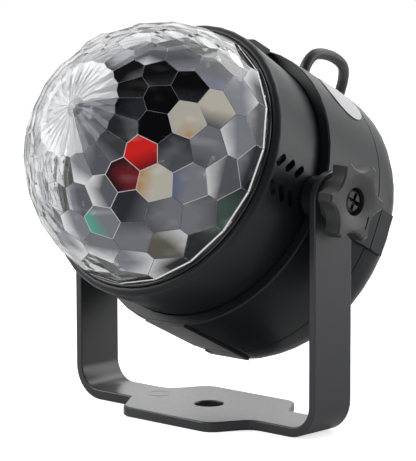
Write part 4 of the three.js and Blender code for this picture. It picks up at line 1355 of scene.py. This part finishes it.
    def draw_lines(self, mesh: bpy.types.Mesh) -> None:
        """Paint highlights on the narrow rounded edges between the facets, brightest round the
        facets with painted edge highlights.

        Args:
            mesh: the rounded dome.
        """
        layer = mesh.color_attributes["seen"]
        middle = HEAD @ Vector((0.0, 0.0, self.centre * MM))
        axis = (HEAD.to_3x3() @ Vector((0.0, 0.0, 1.0))).normalized()
        low, high = (self.flat - self.line_depth) * MM, (self.rim - self.centre) * MM
        near_pole = self.flat * math.cos(self.first - self.step / 2) * MM
        reach = self.line_reach * MM
        for face in mesh.polygons:
            out = face.center - middle
            narrow = face.area < self.line_area and out.length > low
            if narrow and high < out.dot(axis) < near_pole:
                near = any((face.center - place).length < reach for place in self.outlined)
                for loop in face.loop_indices:
                    layer.data[loop].color = (PaintedLight.OUTLINE if near else PaintedLight.LINE).value

    def build(self) -> None:
        """Make the dome and dress it."""
        for band in (self.flute_band(self.flute_share / 3, self.flute / 3),
                     self.flute_band(self.flute_share, self.flute),
                     *[self.band(ring) for ring in range(-1, self.rings - 1)],
                     self.rim_band(self.rim + self.rim_line), self.rim_band(self.rim)):
            self.points += band
        count = 2 * self.count
        rim = len(self.points) - count
        self.pole()
        # The band at the rim is painted with a highlight.
        for face in strip(rim - count, rim, count):
            self.add(face, PaintedLight.RIM_HIGHLIGHT.value)
        self.facets()
        self.inside(rim)
        mesh = mesh_from("dome", self.points, self.faces, HEAD @ TO_METRES)
        layer = mesh.color_attributes.new("seen", "FLOAT_COLOR", "CORNER")
        for corner, shade in zip(layer.data, self.shades):
            corner.color = shade
        mesh = rounded(soften(closed(mesh), self.smooth_below), "dome_rounded", self.edge, 1,
                       self.edges_from)
        self.draw_lines(mesh)
        clear = ClearFacets("dome_plastic", (0.97, 0.975, 0.985))
        new_piece("faceted_dome", mesh, clear.material(), Body.DOME, "dome", "dome")


# ---- screws and inside ----


class ScrewTree(Nodes):
    """A tree that adds a ring of cross-head screws to what comes in."""

    kinds = {"Count": "Int", "Ring Radius": "Float", "First Angle": "Float", "Level": "Float",
             "Flip": "Float", "Shank Radius": "Float", "Length": "Float", "Head Radius": "Float",
             "Head Height": "Float", "Seed": "Int", "Material": "Material"}

    def __init__(self) -> None:
        """Build the tree."""
        super().__init__(bpy.data.node_groups.new("screw_ring", "GeometryNodeTree"))
        face = self.tree.interface
        face.new_socket("Geometry", in_out="INPUT", socket_type="NodeSocketGeometry")
        self.names = {
            name.lower().replace(" ", "_"):
                face.new_socket(name, in_out="INPUT", socket_type=f"NodeSocket{kind}").identifier
            for name, kind in self.kinds.items()}
        face.new_socket("Geometry", in_out="OUTPUT", socket_type="NodeSocketGeometry")
        entry = self.tree.nodes.new("NodeGroupInput")
        self.given = {socket.name: Term(self, socket) for socket in entry.outputs if socket.name}
        placed = self.node("GeometryNodeInstanceOnPoints", {}, {
            "Points": self.ring(), "Instance": self.screw(), "Rotation": self.turn()})
        plain = self.node("GeometryNodeRealizeInstances", {}, {0: placed})
        joined = self.node("GeometryNodeJoinGeometry", {}, {0: [self.given["Geometry"], plain]})
        dressed = self.node("GeometryNodeSetMaterial", {}, {
            "Geometry": joined, "Material": self.given["Material"]})
        self.node("NodeGroupOutput", {}, {0: dressed})

    def vector(self, x: Any = 0.0, y: Any = 0.0, z: Any = 0.0) -> Term:
        """Three numbers or terms as one vector."""
        return self.node("ShaderNodeCombineXYZ", {}, {0: x, 1: y, 2: z})

    def moved(self, shape: Term, along: Any) -> Term:
        """A shape moved along its axis."""
        return self.node("GeometryNodeTransform", {}, {
            "Geometry": shape, "Translation": self.vector(z=along)})

    def boolean(self, operation: str, inputs: dict[int, Any]) -> Term:
        """A Boolean of closed shapes."""
        return self.node("GeometryNodeMeshBoolean", {
            "operation": operation, "solver": "MANIFOLD"}, inputs)

    def ring(self) -> Term:
        """Points evenly round a ring.

        Returns:
            The points.
        """
        given = self.given
        part = self.math("DIVIDE", 2 * math.pi, given["Count"])
        angle = given["First Angle"] + self.node("GeometryNodeInputIndex") * part
        across = [given["Ring Radius"] * self.math(name, angle) for name in ("COSINE", "SINE")]
        return self.node("GeometryNodePoints", {}, {
            "Count": given["Count"], "Position": self.vector(*across, given["Level"])})

    def turn(self) -> Term:
        """The rotation of each screw: its own seeded turn, and the way that its head faces."""
        spin = self.node("FunctionNodeRandomValue", {"data_type": "FLOAT"}, {
            2: 0.0, 3: math.pi, 8: self.given["Seed"]}, 1)
        return self.node("FunctionNodeEulerToRotation", {}, {
            0: self.vector(x=self.given["Flip"], z=spin)})

    def screw(self) -> Term:
        """One screw: a domed head with a cross recess, on a tapered shank.

        Returns:
            The screw, with its head's foot at the origin.
        """
        radius, height = self.given["Head Radius"], self.given["Head Height"]
        disc = self.node("GeometryNodeMeshCylinder", {}, {
            "Vertices": 32, "Radius": radius, "Depth": height})
        curve = 1.7 * radius
        ball = self.node("GeometryNodeMeshUVSphere", {}, {
            "Segments": 48, "Rings": 32, "Radius": curve})
        domed = self.boolean("INTERSECT", {
            1: [self.moved(disc, 0.5 * height), self.moved(ball, height - curve)]})
        long, wide, deep = 1.25 * radius, 0.3 * radius, 1.1 * height
        arms = [self.moved(self.node("GeometryNodeMeshCube", {}, {
            "Size": self.vector(x, y, deep)}), height) for x, y in ((long, wide), (wide, long))]
        head = self.boolean("DIFFERENCE", {0: domed, 1: arms})
        shank = self.node("GeometryNodeMeshCone", {}, {
            "Vertices": 16, "Radius Top": self.given["Shank Radius"],
            "Radius Bottom": 0.3 * self.given["Shank Radius"], "Depth": self.given["Length"]})
        return self.node("GeometryNodeJoinGeometry", {}, {
            0: [head, self.moved(shank, -1.0 * self.given["Length"])]})


@dataclass(frozen=True)
class ScrewRing:
    """One ring of screws about the head's axis, in metres, named as the tree's inputs are."""

    ring_radius: float
    level: float
    length: float
    shank_radius: float
    head_radius: float
    head_height: float
    count: int
    first_angle: float
    flip: float = 0.0


@dataclass
class Screws:
    """The screws inside the head, made by one tree."""

    rings: dict[str, ScrewRing] = field(default_factory=lambda: {
        name: ScrewRing(*[size * MM for size in sizes], *turns) for name, sizes, turns in (
            ("deck_screw", (34.8, 16.7, 8.0, 1.2, 2.3, 1.5), (3, math.pi / 2)),
            ("motor_screw", (16.0, 16.7, 8.0, 1.2, 2.3, 1.5), (2, 0.0)),
            ("shell_screw", (34.5, -21.6, 12.0, 1.5, 2.75, 2.0), (4, math.pi / 4, math.pi)),
            ("board_screw", (20.0, -28.3, 9.1, 1.2, 2.3, 1.5), (2, 0.0)))})

    def build(self) -> None:
        """Make every ring on one mesh."""
        steel = BrightMetal("screw_steel", (0.62, 0.63, 0.65), 0.28).material()
        holder = linked("screw_holder", bpy.data.meshes.new("none"))
        tree = ScrewTree()
        for seed, (name, ring) in enumerate(self.rings.items()):
            modifier = holder.modifiers.new(name, "NODES")
            modifier.node_group = tree.tree
            for key, value in {**asdict(ring), "seed": seed, "material": steel}.items():
                modifier[tree.names[key]] = value
        mesh = baked(holder)
        mesh.transform(HEAD)
        nodes = [f"{name}_{i + 1}" for name, ring in self.rings.items() for i in range(ring.count)]
        new_piece("head_screws", soften(mesh, sharp=35.0), steel, Body.HEAD, "screws", *nodes)


@dataclass
class Inside:
    """The finishes of the CAD nodes that stay, such as the lamps, the motor and the boards."""

    finishes: tuple[tuple[Finish, tuple[str, ...]], ...] = (
        (BrightMetal("shaft_steel", (0.62, 0.63, 0.65), 0.28),
         ("motor_shaft", "pivot_nut_right", "pivot_nut_left")),
        (CircuitBoard("board_green", (0.02, 0.1, 0.05)), ("lamp_board", "control_board")),
        (MouldedPlastic("reflector_face", (0.012, 0.012, 0.014), 0.3, 300.0, gloss=0.3,
                        grain_strength=0.04), ("reflector_plate",)),
        (PowderCoat("motor_can", (0.02, 0.02, 0.022), 0.35), ("gear_motor",)),
        (LampLens("red_lens", (0.25, 0.005, 0.005)), ("lamp_red",)),
        (LampLens("green_lens", (0.3, 0.28, 0.2)), ("lamp_green",)),
        (LampLens("blue_lens", (0.01, 0.1, 0.09)), ("lamp_blue",)),
        (MouldedPlastic("capacitor_sleeve", (0.03, 0.04, 0.09), 0.3), ("capacitor",)),
        (MouldedPlastic("chip_body", (0.01, 0.01, 0.011), 0.5), ("driver_chip",)),
        (MouldedPlastic("connector_body", (0.7, 0.67, 0.58)), ("cord_connector",)),
        (MouldedPlastic("red_wire", (0.4, 0.02, 0.015)), ("motor_wire",)),
        (MouldedPlastic("yellow_wire", (0.5, 0.4, 0.04)), ("lamp_wire",)),
        (MouldedPlastic("relief_rubber", (0.02, 0.02, 0.021), 0.6), ("cord_relief", "inner_cord")),
        (MouldedPlastic("tongue_plastic", (0.75, 0.75, 0.73), 0.4), ("plug_tongue",)))

    def build(self) -> None:
        """Dress the nodes."""
        for finish, nodes in self.finishes:
            material = finish.material()
            for node in nodes:
                coat(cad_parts[node].data, material)
                LOG.info("%s: finish %s", node, finish.name)


def main() -> None:
    """Build the scene in order."""
    logging.basicConfig(level=logging.INFO, format="%(name)s %(message)s")
    for kind in (Studio, FreeCord, Bracket, Housing, Knobs, FacetedDome, Screws, Inside):
        kind().build()
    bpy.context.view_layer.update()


if __name__ == "__main__":
    main()
